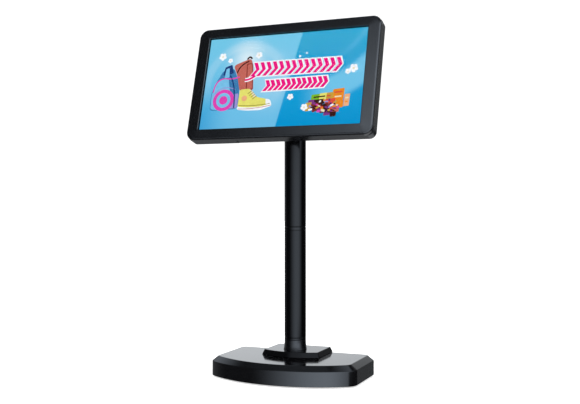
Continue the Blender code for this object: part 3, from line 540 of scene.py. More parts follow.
def ring_piece(node, finish, body, bore, edge=None):
    """A round sleeve about the pole's axis. Without an edge its ends slope in, as one side of a groove."""
    low, high = (place.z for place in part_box(node))
    outer = TUBE_RADIUS
    if edge is None:
        reach = GAP - 0.00005
        path = [(bore, low - reach, 0.0), (outer - 0.6 * GROOVE, low - reach, 0.0),
                (outer, low + 0.0002, 0.0001), (outer, high - 0.0007, 0.0001),
                (outer - GROOVE, high + reach, 0.0), (bore, high + reach, 0.0)]
    else:
        path = [(bore, low, edge / 2), (outer, low, edge), (outer, high, edge), (bore, high, edge / 2)]
    make_piece(node, turned(soften(path, closed=True), closed=True), finish, body)


def pole_pieces():
    """Tubes, their rings, and the bush and washer at the top of the pole."""
    for node in ("lower_tube", "upper_tube"):
        ring_piece(node, "coated_tube", "stand", TUBE_BORE, 0.0002)
    for node in ("lower_collar", "joint_ring"):
        ring_piece(node, "dark_trim", "stand", TUBE_BORE)
    ring_piece("swivel_washer", "nylon", "swivel_head", NECK_BORE, 0.0002)
    low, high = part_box("neck_bush")
    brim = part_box("upper_tube")[1].z + GAP
    profile = soften([(NECK_BORE, low.z, 0.0003), (SPIGOT_RADIUS, low.z, 0.0005), (SPIGOT_RADIUS, brim, 0.0),
                      (TUBE_RADIUS, brim, 0.0004), (TUBE_RADIUS, high.z, 0.0006), (NECK_BORE, high.z, 0.0003)],
                     closed=True)
    make_piece("neck_bush", turned(profile, closed=True), "nylon", "stand")


def middle_of(node):
    """Where a CAD node stands in plan."""
    low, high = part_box(node)
    return ((low.x + high.x) / 2, (low.y + high.y) / 2)


def rubber_feet():
    """Four turned pads with a rounded tread edge."""
    for node in ("foot_front_left", "foot_front_right", "foot_rear_left", "foot_rear_right"):
        low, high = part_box(node)
        radius = (high.x - low.x) / 2
        profile = soften([(0.0020, low.z + 0.0003, 0.0), (0.0035, low.z, 0.0003),
                          (radius - 0.0002, low.z, 0.0008), (radius, high.z, 0.0003), (0.0020, high.z, 0.0)])
        make_piece(node, turned(profile, SMALL_ROUND, middle_of(node)), "rubber", "stand")


# Fasteners.

def cross(reach, width):
    """The plan of a cross recess."""
    points = []
    for turn in range(4):
        spin = Matrix.Rotation(math.radians(90.0 * turn), 2)
        points += [tuple(spin @ Vector(point)) for point in ((reach, -width), (reach, width), (width, width))]
    return points


def pan_screw(node, spot, seat, head, shank, length, lay, body, matrix=None, out=1.0):
    """A pan-head screw with a cross recess. It is driven against the direction of out."""
    radius, height = head
    profile = soften([(shank * 0.6, -length, 0.0), (shank, -length + shank * 0.6, 0.0), (shank, 0.0, 0.0),
                      (radius, 0.0, height * 0.15), (radius * 0.94, height * 0.72, height * 0.4),
                      (radius * 0.45, height, radius * 0.25), (radius * 0.10, height, 0.0)])
    placed = [(size, seat + out * place) for size, place in profile]
    screw = blank(node + "_fine", turned(placed, SMALL_ROUND, spot, lay=lay))
    recess = []
    for share, place in ((0.16, height * 0.30), (0.26, height * 0.75), (0.34, height * 1.2)):
        points = [(x + spot[0], y + spot[1]) for x, y in cross(radius * share * 1.7, radius * share * 0.42)]
        recess.append(lay(points, seat + out * place))
    combine(screw, [loft(recess)])
    finish_piece(screw, "zinc_steel", body, matrix)


def visible_screws():
    """The screws that show: behind the display and under the base."""
    for index in range(4):
        pan_screw("bracket_screw_%d" % (index + 1), MOUNT_HOLES[index], DISPLAY_DEPTH + 0.0031,
                  (0.0038, 0.0024), 0.0020, 0.0090, upright, "display", SCREEN)
    for index in range(4):
        pan_screw("cover_screw_%d" % (index + 1), COVER_SCREWS[index], 0.0141, (0.0027, 0.0018), 0.0011, 0.0090,
                  upright, "display", SCREEN)
    for index in range(4):
        node = "base_screw_%d" % (index + 1)
        pan_screw(node, middle_of(node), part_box(node)[0].z + 0.0014, (0.0030, 0.0014), 0.0015, 0.014, level,
                  "stand", out=-1.0)


def tilt_bolt():
    """Button-head bolt with a hexagon socket, its thread beyond the nut, the nut and the two washers."""
    seat = EAR_OUTER + GAP
    top = -seat - 0.0032
    tip = 0.0246
    across = partial(turned, sides=SMALL_ROUND, centre=AXIS, lay=sideways)
    profile = soften([(0.0010, top, 0.0), (0.0036, top, 0.0006), (0.0052, -seat - 0.0012, 0.0010),
                      (0.0052, -seat, 0.0002), (PIN_RADIUS, -seat, 0.0), (PIN_RADIUS, seat + 0.0050, 0.0)])
    pitch = 0.0005
    crest = seat + 0.0053
    while crest + pitch < tip:
        profile += [(PIN_RADIUS - 0.0003, crest), (PIN_RADIUS, crest + pitch / 2)]
        crest += pitch
    profile += [(PIN_RADIUS - 0.0006, tip), (0.0008, tip)]
    bolt = blank("hinge_bolt_fine", across(profile))
    combine(bolt, [rod(0.0020, -seat - 0.0012, -seat - 0.0040, 6, AXIS, sideways)])
    finish_piece(bolt, "zinc_steel", "display", BOLT)

    nut = blank("hinge_nut_fine", rod(0.0058, seat, seat + 0.0050, 6, AXIS, sideways))
    chamfer = soften([(0.0050, seat - 0.001, 0.0), (0.0070, seat + 0.0008, 0.0), (0.0070, seat + 0.0042, 0.0),
                      (0.0050, seat + 0.0052, 0.0)])
    combine(nut, [across(chamfer)], "INTERSECT")
    combine(nut, [across([(PIN_HOLE, seat - 0.002), (PIN_HOLE, seat + 0.007)])])
    finish_piece(nut, "zinc_steel", "display", BOLT)

    for side, node in ((-1, "friction_washer_left"), (1, "friction_washer_right")):
        near = side * (ARM_OUTER + GAP)
        far = side * (EAR_INNER - GAP)
        profile = soften([(PIN_HOLE, near, 0.0001), (0.0080, near, 0.0002), (0.0080, far, 0.0002),
                          (PIN_HOLE, far, 0.0001)], closed=True, steps=3)
        make_piece(node, turned(profile, MIDDLE_ROUND, AXIS, True, sideways), "nylon", "display", BOLT)


# Hinge.

def yoke():
    """Head of the pole: a turned disc on a hollow spigot, with two arms that hold the tilt bolt."""
    bore, spigot, disc_radius = 0.0060, 0.0090, 0.0165
    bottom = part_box("hinge_head")[0].z - PIN.z
    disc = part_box("swivel_washer")[1].z + GAP - PIN.z
    profile = soften([(bore, bottom, 0.0003), (spigot, bottom, 0.0006), (spigot, disc, 0.0),
                      (disc_radius, disc, 0.0007), (disc_radius, disc + 0.0060, 0.0010),
                      (bore, disc + 0.0060, 0.0005)], closed=True)
    head = blank("hinge_head_fine", turned(profile, centre=AXIS, closed=True))
    outline = ear_outline(0.0205, EAR_RADIUS, False)
    combine(head, [plate(outline, side * ARM_INNER, side * ARM_OUTER, 0.0007, sideways) for side in (-1, 1)],
            "UNION")
    combine(head, [rod(PIN_HOLE, -0.020, 0.020, SMALL_ROUND, AXIS, sideways)])
    finish_piece(head, "coated_sheet", "swivel_head", YOKE)


def bracket():
    """Square plate on the rear cover's bosses, with two ears folded back to the tilt bolt."""
    front, back = BRACKET_FRONT, BRACKET_BACK
    piece = blank("hinge_bracket_fine", plate(rectangle(BRACKET_HALF, 0.006), front, back, EDGE))
    outline = [(y + PIN_TO_FRONT, z - SCREEN_RISE)
               for y, z in ear_outline(PIN_TO_FRONT - back + 0.001, 0.015, True)]
    combine(piece, [plate(outline, side * EAR_INNER, side * EAR_OUTER, 0.0005, sideways) for side in (-1, 1)],
            "UNION")
    cuts = [rod(PIN_HOLE, -0.020, 0.020, SMALL_ROUND, (PIN_TO_FRONT, -SCREEN_RISE), sideways),
            turned(flared(0.0130, front - 0.001, back, 0.0006), WIDE_ROUND, AXIS, lay=upright)]
    cuts += [turned(flared(0.0024, front - 0.001, back, 0.0003), SMALL_ROUND, spot, lay=upright)
             for spot in MOUNT_HOLES]
    combine(piece, cuts)
    finish_piece(piece, "coated_sheet", "display", SCREEN)


# Display.

def round_rectangles(half, corner, path):
    """Rings of a display moulding. A path point is (inset, depth)."""
    rings = []
    for inset, depth in path:
        size = (half[0] - inset, half[1] - inset)
        rings.append(upright(rectangle(size, max(corner - inset, 0.0006), 14), depth))
    return rings


def bezel_moulding():
    """Front frame: a chamfered window, a slightly crowned face, a rounded outer edge and a skirt."""
    window = soften([(0.0, 0.0020, 0.0), (0.0, 0.0004, 0.0002), (-0.0005, 0.0, 0.0002), (-0.0014, 0.0, 0.0)],
                    steps=3)
    edge = [(BEZEL_EDGE * inset, CROWN + (BEZEL_EDGE - CROWN) * fall) for inset, fall in quarter_round(12)]
    skirt = soften([(0.0, 0.0050, 0.0), (0.0, BEZEL_DEPTH, 0.0004), (BEZEL_WALL, BEZEL_DEPTH, 0.0002),
                    (BEZEL_WALL, 0.0020, 0.0)], steps=3)
    rings = round_rectangles(WINDOW_HALF, 0.0008, window)
    rings += round_rectangles(BEZEL_HALF, BEZEL_CORNER, edge + skirt)
    make_piece("front_bezel", loft(rings, closed=True), "satin_plastic", "display", SCREEN)


def rear_moulding():
    """Back shell: a rounded rim, vents, screw wells, bracket bosses, cable inlet and a shallow chin recess."""
    rim = BEZEL_DEPTH + GAP
    tip = rim - TONGUE_DEPTH
    inside = [(COVER_SIDE + 0.0015, INNER_BACK), (COVER_SIDE, INNER_BACK - 0.0015),
              (COVER_SIDE, rim + TONGUE_DEPTH)]
    tongue = [(TONGUE[1], rim), (TONGUE[1], tip), (TONGUE[0], tip), (TONGUE[0], rim)]
    outside = [(0.0004, rim), (0.0001, rim + 0.0001), (0.0, rim + 0.0004)]
    outside += [(COVER_EDGE * inset, DISPLAY_DEPTH - COVER_EDGE * fall) for fall, inset in quarter_round(12)]
    rings = round_rectangles(COVER_HALF, COVER_CORNER, inside)
    rings += round_rectangles(COVER_HALF, TONGUE_CORNER + TONGUE[0], tongue)
    rings += round_rectangles(COVER_HALF, COVER_CORNER, outside)
    cover = blank("rear_cover_fine", loft(rings))

    post_end = INNER_BACK + 0.001
    posts = [rod(0.0042, 0.0094, post_end, centre=spot, lay=upright) for spot in COVER_SCREWS]
    posts += [rod(0.0045, 0.0155, post_end, centre=spot, lay=upright) for spot in MOUNT_HOLES]
    combine(cover, posts, "UNION")

    opening = partial(flared, face=DISPLAY_DEPTH)
    well = [(0.0016, 0.0080), (0.0016, 0.0138), (0.0031, 0.0138)] + opening(0.0031, 0.0140, edge=0.0004)[1:]
    holes = [(well, SMALL_ROUND, spot) for spot in COVER_SCREWS]
    holes += [(opening(0.0023, 0.0140, edge=0.0003), SMALL_ROUND, spot) for spot in MOUNT_HOLES]
    holes += [(opening(0.0087, 0.0180, edge=0.0004), WIDE_ROUND, AXIS),
              (opening(0.0043, 0.0180, edge=0.0004), SMALL_ROUND, BUTTON_PLACE)]
    cuts = [turned(profile, sides, spot, lay=upright) for profile, sides, spot in holes]
    for spot in VENT_PLACES:
        cuts.append(loft([upright(rectangle((VENT_HALF[0] + grow, VENT_HALF[1] + grow), VENT_HALF[0] + grow, 8,
                                            spot), depth)
                          for grow, depth in opening(0.0, 0.0180, edge=0.0004)]))
    combine(cover, cuts)
    chin = rectangle((0.0590, 0.0150), 0.0008, 4, (0.0, 0.0260))
    combine(cover, [loft([level(chin, -COVER_HALF[1] - 0.002), level(chin, -COVER_HALF[1] + 0.0008)])])
    finish_piece(cover, "satin_plastic", "display", SCREEN)


def grommet(node, bore, neck, flange, wall, centre, sides, body, matrix=None):
    """A turned rubber grommet about a wall, given by its inner and outer face."""
    lip = 0.0018
    inner, outer = wall
    profile = soften([(bore, inner - lip, 0.0006), (flange, inner - lip, 0.0008), (flange, inner - GAP, 0.0002),
                      (neck, inner - GAP, 0.0), (neck, outer + GAP, 0.0), (flange, outer + GAP, 0.0002),
                      (flange, outer + lip, 0.0010), (bore, outer + lip, 0.0008)], closed=True)
    make_piece(node, turned(profile, sides, centre, True, upright), "rubber", body, matrix)


def power_button():
    """Round push button with a dished cap, a captive flange and a stem."""
    path = ((0.0008, -0.0049, 0.0), (0.0015, -0.0049, 0.0002), (0.0015, -0.0037, 0.0),
            (0.0052, -0.0037, 0.0002), (0.0052, -0.0025, 0.0002), (0.0040, -0.0025, 0.0),
            (0.0040, 0.0015, 0.0006), (0.0030, 0.0015, 0.0004), (0.0018, 0.0011, 0.0008), (0.0004, 0.0010, 0.0))
    profile = soften([(radius, DISPLAY_DEPTH + rise, reach) for radius, rise, reach in path])
    make_piece("power_button", turned(profile, MIDDLE_ROUND, BUTTON_PLACE, lay=upright), "satin_plastic",
               "button", SCREEN)


# The lit picture: a generic shop scene, drawn as thin layers over a shaded ground. A place in it is a pair of
# shares, 0 to 1 to the right and 0 to 1 downwards, and its other sizes are shares of its height.

WIDE = 2 * PICTURE_HALF[0]
TALL = 2 * PICTURE_HALF[1]
INKS = {
    "white": (250, 252, 255), "cream": (240, 226, 190), "magenta": (240, 22, 128), "rose": (228, 70, 178),
    "denim": (62, 126, 178), "navy": (30, 62, 118), "sky": (122, 194, 232), "brick": (198, 104, 92),
    "lavender": (156, 150, 216), "straw": (206, 160, 60), "coral": (226, 82, 60), "maroon": (128, 48, 44),
    "lemon": (234, 228, 112), "olive": (150, 140, 60), "orange": (236, 138, 34), "leaf": (122, 180, 40),
    "plum": (128, 56, 130), "cocoa": (58, 26, 24), "peach": (240, 176, 128),
}


def srgb(colour):
    """A colour from 0 to 255 as a linear one."""
    shares = [value / 255.0 for value in colour]
    return tuple(share / 12.92 if share <= 0.04045 else ((share + 0.055) / 1.055) ** 2.4 for share in shares)


def calc(operation, *values):
    """A Math node; an input is a number or a socket. Sums and products take any number of inputs."""
    if operation in ("ADD", "MULTIPLY") and len(values) > 2:
        values = (calc(operation, *values[:-1]), values[-1])
    tree = next(value.node.id_data for value in values if isinstance(value, bpy.types.NodeSocket))
    node = tree.nodes.new("ShaderNodeMath")
    node.operation = operation
    return fill(node, dict(enumerate(values))).outputs[0]


times = partial(calc, "MULTIPLY")


def fade(value, start, end):
    """0 before start, 1 beyond end and smooth between. Start may be the greater."""
    low, high = (0.0, 1.0) if start < end else (1.0, 0.0)
    return spread(value, low, high, min(start, end), max(start, end), "SMOOTHSTEP")


def picture_place(tree):
    """Sockets of the place in the picture."""
    place = add(tree, "TexCoord", {}).outputs["Object"]
    split = add(tree, "SeparateXYZ", {"Vector": place}).outputs
    return calc("MULTIPLY_ADD", split["X"], 1.0 / WIDE, 0.5), calc("MULTIPLY_ADD", split["Z"], -1.0 / TALL, 0.5)


def distance_from(across, down, centre):
    """Distance from a place in the picture."""
    x = times(calc("SUBTRACT", across, centre[0]), WIDE / TALL)
    y = calc("SUBTRACT", down, centre[1])
    return calc("SQRT", calc("ADD", times(x, x), times(y, y)))


def pixel_grid(across, down):
    """The panel's pixel rows and columns as a faint darkening, 1 in the middle of a pixel."""
    waves = [calc("SINE", times(place, 2 * math.pi * count)) for place, count in ((across, 1024), (down, 600))]
    return calc("MULTIPLY_ADD", times(*waves), 0.04, 0.98)


def blend(factor, under, colour):
    """Mix a colour over a colour socket."""
    tree = factor.node.id_data
    mix = tree.nodes.new("ShaderNodeMix")
    mix.data_type = "RGBA"
    mix.clamp_factor = True
    sockets = [socket for socket in mix.inputs if socket.type == "RGBA"]
    tree.links.new(factor, mix.inputs["Factor"])
    tree.links.new(under, sockets[0])
    sockets[1].default_value = (*colour, 1.0)
    return [socket for socket in mix.outputs if socket.type == "RGBA"][0]


def lit(name, colour):
    """A glowing ink with a soft tone across the picture and the panel's pixel grid."""
    material, tree, principled = shader(name, (0.0, 0.0, 0.0), 0.5, specular=0.0)
    tone = calc("MULTIPLY_ADD", noise(tree, 160.0), 0.30, 0.85)
    fill(principled, {"Emission Color": (*colour, 1.0),
                      "Emission Strength": times(tone, pixel_grid(*picture_place(tree)))})
    return material


def ground_material():
    """Blue ground: darker to the right and below, with a painted reflection (a lighter glare over its left part
    up to a diagonal edge), a glow, rings and a swoosh.
    """
    material, tree, principled = shader("picture_ground", (0.0, 0.0, 0.0), 0.5, specular=0.0)
    across, down = picture_place(tree)
    blues = ((0.0, (48, 170, 212)), (0.35, (36, 162, 212)), (0.7, (18, 158, 214)), (1.0, (3, 148, 208)))
    ground = ramp(down, [(position, srgb(colour)) for position, colour in blues])

    slope = calc("MULTIPLY_ADD", down, 0.11, across)
    # Painted reflection: slope, cover and panel make a lighter glare over the picture's left part, up to a
    # diagonal edge, that stands for a soft box reflected in the glass.
    cover = calc("MULTIPLY_ADD", calc("MAXIMUM", fade(across, -0.05, 0.22), fade(down, 1.0, 0.3)), 0.24, 0.09)
    panel = times(fade(slope, 0.604, 0.596), cover)
    sweep = distance_from(across, down, (0.614, -0.35))
    swoosh = times(fade(sweep, 0.86, 0.94), fade(sweep, 1.19, 1.11), fade(across, 0.60, 0.82), 0.34)
    thin = times(fade(sweep, 0.70, 0.73), fade(sweep, 0.78, 0.75), fade(across, 0.72, 1.0), 0.12)
    # The painted glare, the swoosh and the thin line lighten the ground towards pale cyan.
    tinted = blend(calc("ADD", panel, swoosh, thin), ground, (0.48, 0.99, 1.14))

    upper_glow = fade(distance_from(across, down, (0.26, 0.24)), 0.38, 0.0)
    lower_glow = fade(distance_from(across, down, (0.42, 0.50)), 0.45, 0.0)
    glow = calc("ADD", times(upper_glow, upper_glow, 0.68), times(lower_glow, 0.22))
    middle = distance_from(across, down, (0.26, 0.52))
    halo = times(fade(middle, 0.36, 0.40), fade(middle, 0.50, 0.44), fade(down, 0.8, 0.4), 0.12)
    white = calc("ADD", times(glow, fade(slope, 0.63, 0.55)), halo)
    fill(principled, {"Emission Color": blend(white, tinted, (0.95, 1.0, 1.0)),
                      "Emission Strength": pixel_grid(across, down)})
    return material


INK_MATERIALS = {name: lit("ink_" + name, srgb(colour)) for name, colour in INKS.items()}
INK_MATERIALS["ground"] = ground_material()


def art_piece(name, shapes):
    """One object of thin layers. A shape is (outline, ink, layer)."""
    inks = list(dict.fromkeys(ink for outline, ink, layer in shapes))
    sheets = []
    for outline, ink, layer in shapes:
        front = CELL_FRONT - ART_STEP * (layer + 1)
        points = [((across - 0.5) * WIDE, (0.5 - down) * TALL) for across, down in outline]
        sheet = loft([upright(points, front), upright(points, front + ART_STEP * 0.6)])
        for face in sheet.faces:
            face.material_index = inks.index(ink)
        sheets.append(sheet)
    data = bpy.data.meshes.new(name)
    gather(sheets, data)
    obj = link(name, data)
    for ink in inks:
        data.materials.append(INK_MATERIALS[ink])
    obj.matrix_world = SCREEN
    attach(obj, "display")


def patch(ink, layer, reach, *points):
    """A shape with rounded corners."""
    return (soften([(across, down, reach) for across, down in points], closed=True, steps=6), ink, layer)


def disc(ink, layer, centre, radius, sides=36):
    """A round shape."""
    return ([(centre[0] + x * TALL / WIDE, centre[1] + y) for x, y in circle(radius, sides)], ink, layer)


def band(ink, layer, width, points):
    """A shape that follows a path."""
    squeeze = WIDE / TALL
    left, right = [], []
    for index, (across, down) in enumerate(points):
        before = points[max(index - 1, 0)]
        after = points[min(index + 1, len(points) - 1)]
        along = Vector(((after[0] - before[0]) * squeeze, after[1] - before[1])).normalized()
        left.append((across - along.y * width / squeeze, down + along.x * width))
        right.append((across + along.y * width / squeeze, down - along.x * width))
    return (left + right[::-1], ink, layer)


def stroke(ink, layer, width, start, bend, end):
    """A curved line."""
    return band(ink, layer, width, curve(start, bend, end))


def bar(ink, layer, centre, half, lean, rounding, tilt):
    """A box with rounded corners, leaning like italics and tilted with its row."""
    outline = [(centre[0] + (x + lean * -y) * TALL / WIDE, centre[1] + y + tilt * x)
               for x, y in rectangle(half, min(half) * rounding, 3)]
    return (outline, ink, layer)


def bag():
    """A pale blue drawstring bag with a pink ring on its front."""
    return [patch("denim", 1, 0.03, (0.112, 0.36), (0.180, 0.34), (0.225, 0.50), (0.236, 0.66), (0.232, 0.79),
                  (0.052, 0.80), (0.048, 0.62), (0.070, 0.50)),
            patch("sky", 2, 0.03, (0.080, 0.48), (0.150, 0.44), (0.172, 0.60), (0.172, 0.79), (0.056, 0.79),
                  (0.052, 0.62)),
            patch("lavender", 2, 0.015, (0.176, 0.64), (0.230, 0.62), (0.231, 0.78), (0.176, 0.785)),
            disc("rose", 2.6, (0.135, 0.690), 0.118), disc("sky", 3.2, (0.135, 0.690), 0.080),
            disc("rose", 3.8, (0.135, 0.690), 0.046),
            patch("navy", 2.6, 0.012, (0.122, 0.325), (0.166, 0.300), (0.182, 0.40), (0.112, 0.42)),
            patch("sky", 3.2, 0.010, (0.130, 0.345), (0.150, 0.335), (0.156, 0.44), (0.124, 0.45)),
            stroke("rose", 3.2, 0.007, (0.062, 0.60), (0.062, 0.46), (0.130, 0.45)),
            stroke("rose", 3.2, 0.007, (0.130, 0.45), (0.180, 0.47), (0.225, 0.44)),
            stroke("lavender", 3.2, 0.004, (0.060, 0.64), (0.120, 0.50), (0.205, 0.58)),
            stroke("navy", 3.2, 0.007, (0.160, 0.42), (0.206, 0.52), (0.210, 0.78))]


def case():
    """A tall brick-red travel case with a seam and a small handle."""
    return [patch("brick", 1.2, 0.03, (0.176, 0.312), (0.255, 0.262), (0.288, 0.246), (0.306, 0.33),
                  (0.323, 0.60), (0.236, 0.605), (0.208, 0.43)),
            patch("maroon", 1.9, 0.015, (0.262, 0.300), (0.302, 0.300), (0.321, 0.59), (0.275, 0.59)),
            patch("brick", 2.4, 0.012, (0.268, 0.310), (0.298, 0.308), (0.316, 0.58), (0.281, 0.58)),
            stroke("cocoa", 2.6, 0.007, (0.206, 0.40), (0.212, 0.315), (0.275, 0.275)),
            stroke("cocoa", 2.6, 0.009, (0.262, 0.255), (0.278, 0.205), (0.292, 0.252))]


def shoe():
    """A yellow canvas shoe with a white sole."""
    shapes = [patch("white", 1.6, 0.014, (0.232, 0.765), (0.300, 0.775), (0.385, 0.770), (0.448, 0.735),
                    (0.452, 0.775), (0.385, 0.815), (0.300, 0.815), (0.232, 0.80)),
              patch("lemon", 2.2, 0.016, (0.236, 0.585), (0.300, 0.575), (0.318, 0.62), (0.350, 0.67),
                    (0.430, 0.705), (0.448, 0.745), (0.385, 0.778), (0.300, 0.782), (0.234, 0.770)),
              patch("white", 2.8, 0.010, (0.410, 0.695), (0.436, 0.705), (0.450, 0.742), (0.415, 0.760)),
              patch("cream", 2.8, 0.008, (0.298, 0.58), (0.316, 0.60), (0.350, 0.665), (0.334, 0.680)),
              disc("peach", 2.8, (0.272, 0.68), 0.030, 20),
              stroke("olive", 2.8, 0.004, (0.240, 0.755), (0.330, 0.775), (0.440, 0.748)),
              stroke("brick", 2.8, 0.003, (0.238, 0.792), (0.330, 0.805), (0.448, 0.768))]
    for lace in range(4):
        across = 0.305 + 0.011 * lace
        down = 0.612 + 0.020 * lace
        ends = [(across - 0.014, down + 0.022), (across + 0.012, down - 0.012)]
        shapes.append(band("olive", 3.4, 0.004, ends))
    return shapes


def chevron(ink, layer, centre, half, width, lead):
    """A plain arrowhead band that points to the right and leans like italics."""
    points = [(-width / 2, -half), (width / 2, -half), (width / 2 + lead, 0.0), (width / 2, half),
              (-width / 2, half), (lead - width / 2, 0.0)]
    return ([(centre[0] + (x - 0.22 * y) * TALL / WIDE, centre[1] + y) for x, y in points], ink, layer)


def marks():
    """Two rows of leaning arrowhead pairs that stand where a slogan would, and a swash before them."""
    rim = 0.012
    width = 0.040
    rows = (((0.332, 0.372), (0.808, 0.372), 0.074, 7), ((0.416, 0.556), (0.742, 0.548), 0.058, 6))
    shapes = []
    for start, end, half, count in rows:
        for index in range(count):
            share = index / (count - 1)
            for step in (-0.5, 0.5):
                centre = (start[0] + (end[0] - start[0]) * share + 0.036 * step * half / 0.066,
                          start[1] + (end[1] - start[1]) * share)
                layer = 4.0 + 0.03 * (2 * index + step)
                shapes += [chevron("white", layer, centre, half + rim, width + 2 * rim, half * 0.60),
                           chevron("magenta", 5.4, centre, half, width, half * 0.60)]
    swash = ((0.262, 0.480), (0.290, 0.485), (0.326, 0.440))
    return shapes + [stroke("white", 3.9, 0.022, *swash), stroke("magenta", 5.0, 0.011, *swash)]


def goods():
    """A heap of plain boxes and bags in bright colours, with smaller packs strewn over it."""
    boxes = (((0.857, 0.692), (0.058, 0.062), "orange"), ((0.910, 0.752), (0.027, 0.062), "peach"),
             ((0.722, 0.712), (0.046, 0.034), "leaf"), ((0.768, 0.702), (0.040, 0.034), "lemon"),
             ((0.808, 0.705), (0.036, 0.040), "straw"), ((0.700, 0.768), (0.036, 0.034), "plum"),
             ((0.745, 0.760), (0.050, 0.028), "cocoa"), ((0.812, 0.765), (0.052, 0.036), "coral"),
             ((0.868, 0.790), (0.040, 0.038), "orange"), ((0.683, 0.805), (0.030, 0.044), "straw"),
             ((0.735, 0.815), (0.050, 0.038), "maroon"), ((0.792, 0.828), (0.052, 0.044), "cocoa"),
             ((0.846, 0.836), (0.040, 0.036), "brick"), ((0.805, 0.872), (0.044, 0.030), "plum"),
             ((0.836, 0.892), (0.030, 0.026), "cocoa"))
    strips = ((0.857, 0.665, 0.040, "coral"), (0.857, 0.712, 0.034, "cream"), (0.910, 0.730, 0.016, "cream"),
              (0.745, 0.706, 0.060, "cocoa"), (0.800, 0.700, 0.020, "coral"), (0.910, 0.770, 0.014, "orange"))
    inks = ("cocoa", "coral", "cocoa", "plum", "cream", "maroon", "orange", "cocoa", "lavender", "straw",
            "maroon", "cocoa", "rose", "white", "plum")
    shapes = [bar(ink, 1.0 + 0.14 * index, centre, half, 0.05, 0.2, -0.08)
              for index, (centre, half, ink) in enumerate(boxes)]
    shapes += [bar(ink, 3.3, (across, down), (half, 0.007), 0.0, 0.5, -0.08)
               for across, down, half, ink in strips]
    golden = math.pi * (3.0 - math.sqrt(5.0))
    count = 46
    for index in range(count):
        angle = golden * index
        reach = math.sqrt((index + 0.5) / count)
        centre = (0.776 + 0.092 * reach * math.cos(angle), 0.806 + 0.068 * reach * math.sin(angle))
        half = (0.015 + 0.005 * math.sin(3.1 * index), 0.010 + 0.003 * math.cos(2.3 * index))
        shapes.append(bar(inks[index % len(inks)], 3.4 + 0.03 * index, centre, half, 0.3 * math.sin(index), 0.4,
                          0.35 * math.cos(1.7 * index)))
    return shapes


def flowers():
    """Small white flowers over the ground: five round petals about a yellow middle."""
    shapes = []
    for across, down, size in ((0.095, 0.205, 0.040), (0.150, 0.255, 0.026), (0.335, 0.215, 0.036),
                               (0.935, 0.425, 0.044), (0.902, 0.455, 0.028), (0.565, 0.690, 0.032),
                               (0.658, 0.808, 0.036), (0.600, 0.260, 0.012), (0.640, 0.230, 0.010)):
        for petal in range(5):
            angle = math.radians(72.0 * petal + 18.0)
            middle = (across + 0.62 * size * math.cos(angle) * TALL / WIDE,
                      down + 0.62 * size * math.sin(angle))
            shapes.append(disc("white", 3.8 + 0.1 * petal, middle, size * 0.44, 16))
        shapes.append(disc("cream", 4.8, (across, down), size * 0.26, 16))
    return shapes


def draw_picture():
    """The whole lit picture."""
    ground = ([(0.0, 1.0), (1.0, 1.0), (1.0, 0.0), (0.0, 0.0)], "ground", 0)
    for name, shapes in (("picture_ground", [ground]), ("art_bag", bag()), ("art_case", case()),
                         ("art_shoe", shoe()), ("art_marks", marks()), ("art_goods", goods()),
                         ("art_flowers", flowers())):
        art_piece(name, shapes)


# CAD nodes that keep their shape.

KEPT = {
    "coated_sheet": ["base_plate"], "cast_iron": ["ballast_weight"], "dark_trim": ["tube_joiner"],
    "screen_glass": ["screen_glass"], "picture": ["lcd_cell"],
    "panel_steel": ["backlight_unit", "panel_chassis"], "board": ["driver_board", "button_switch"],
    "socket": ["video_socket", "power_socket"],
    "zinc_steel": ["swivel_nut", "board_screw_1", "board_screw_2"] +
                  [name + str(number) for name in ("flange_bolt_", "chassis_screw_") for number in range(1, 5)],
}


def dress_kept_nodes():
    """Give each kept CAD node its procedural material."""
    for finish, nodes in KEPT.items():
        for node in nodes:
            data = frame["nodes"][node].data
            data.materials.clear()
            data.materials.append(FINISH[finish])


# Studio.

def smooth(start, end, value):
    """0 at start, 1 at end, smooth between."""
    t = min(max((value - start) / (end - start), 0.0), 1.0)
    return t * t * (3 - 2 * t)


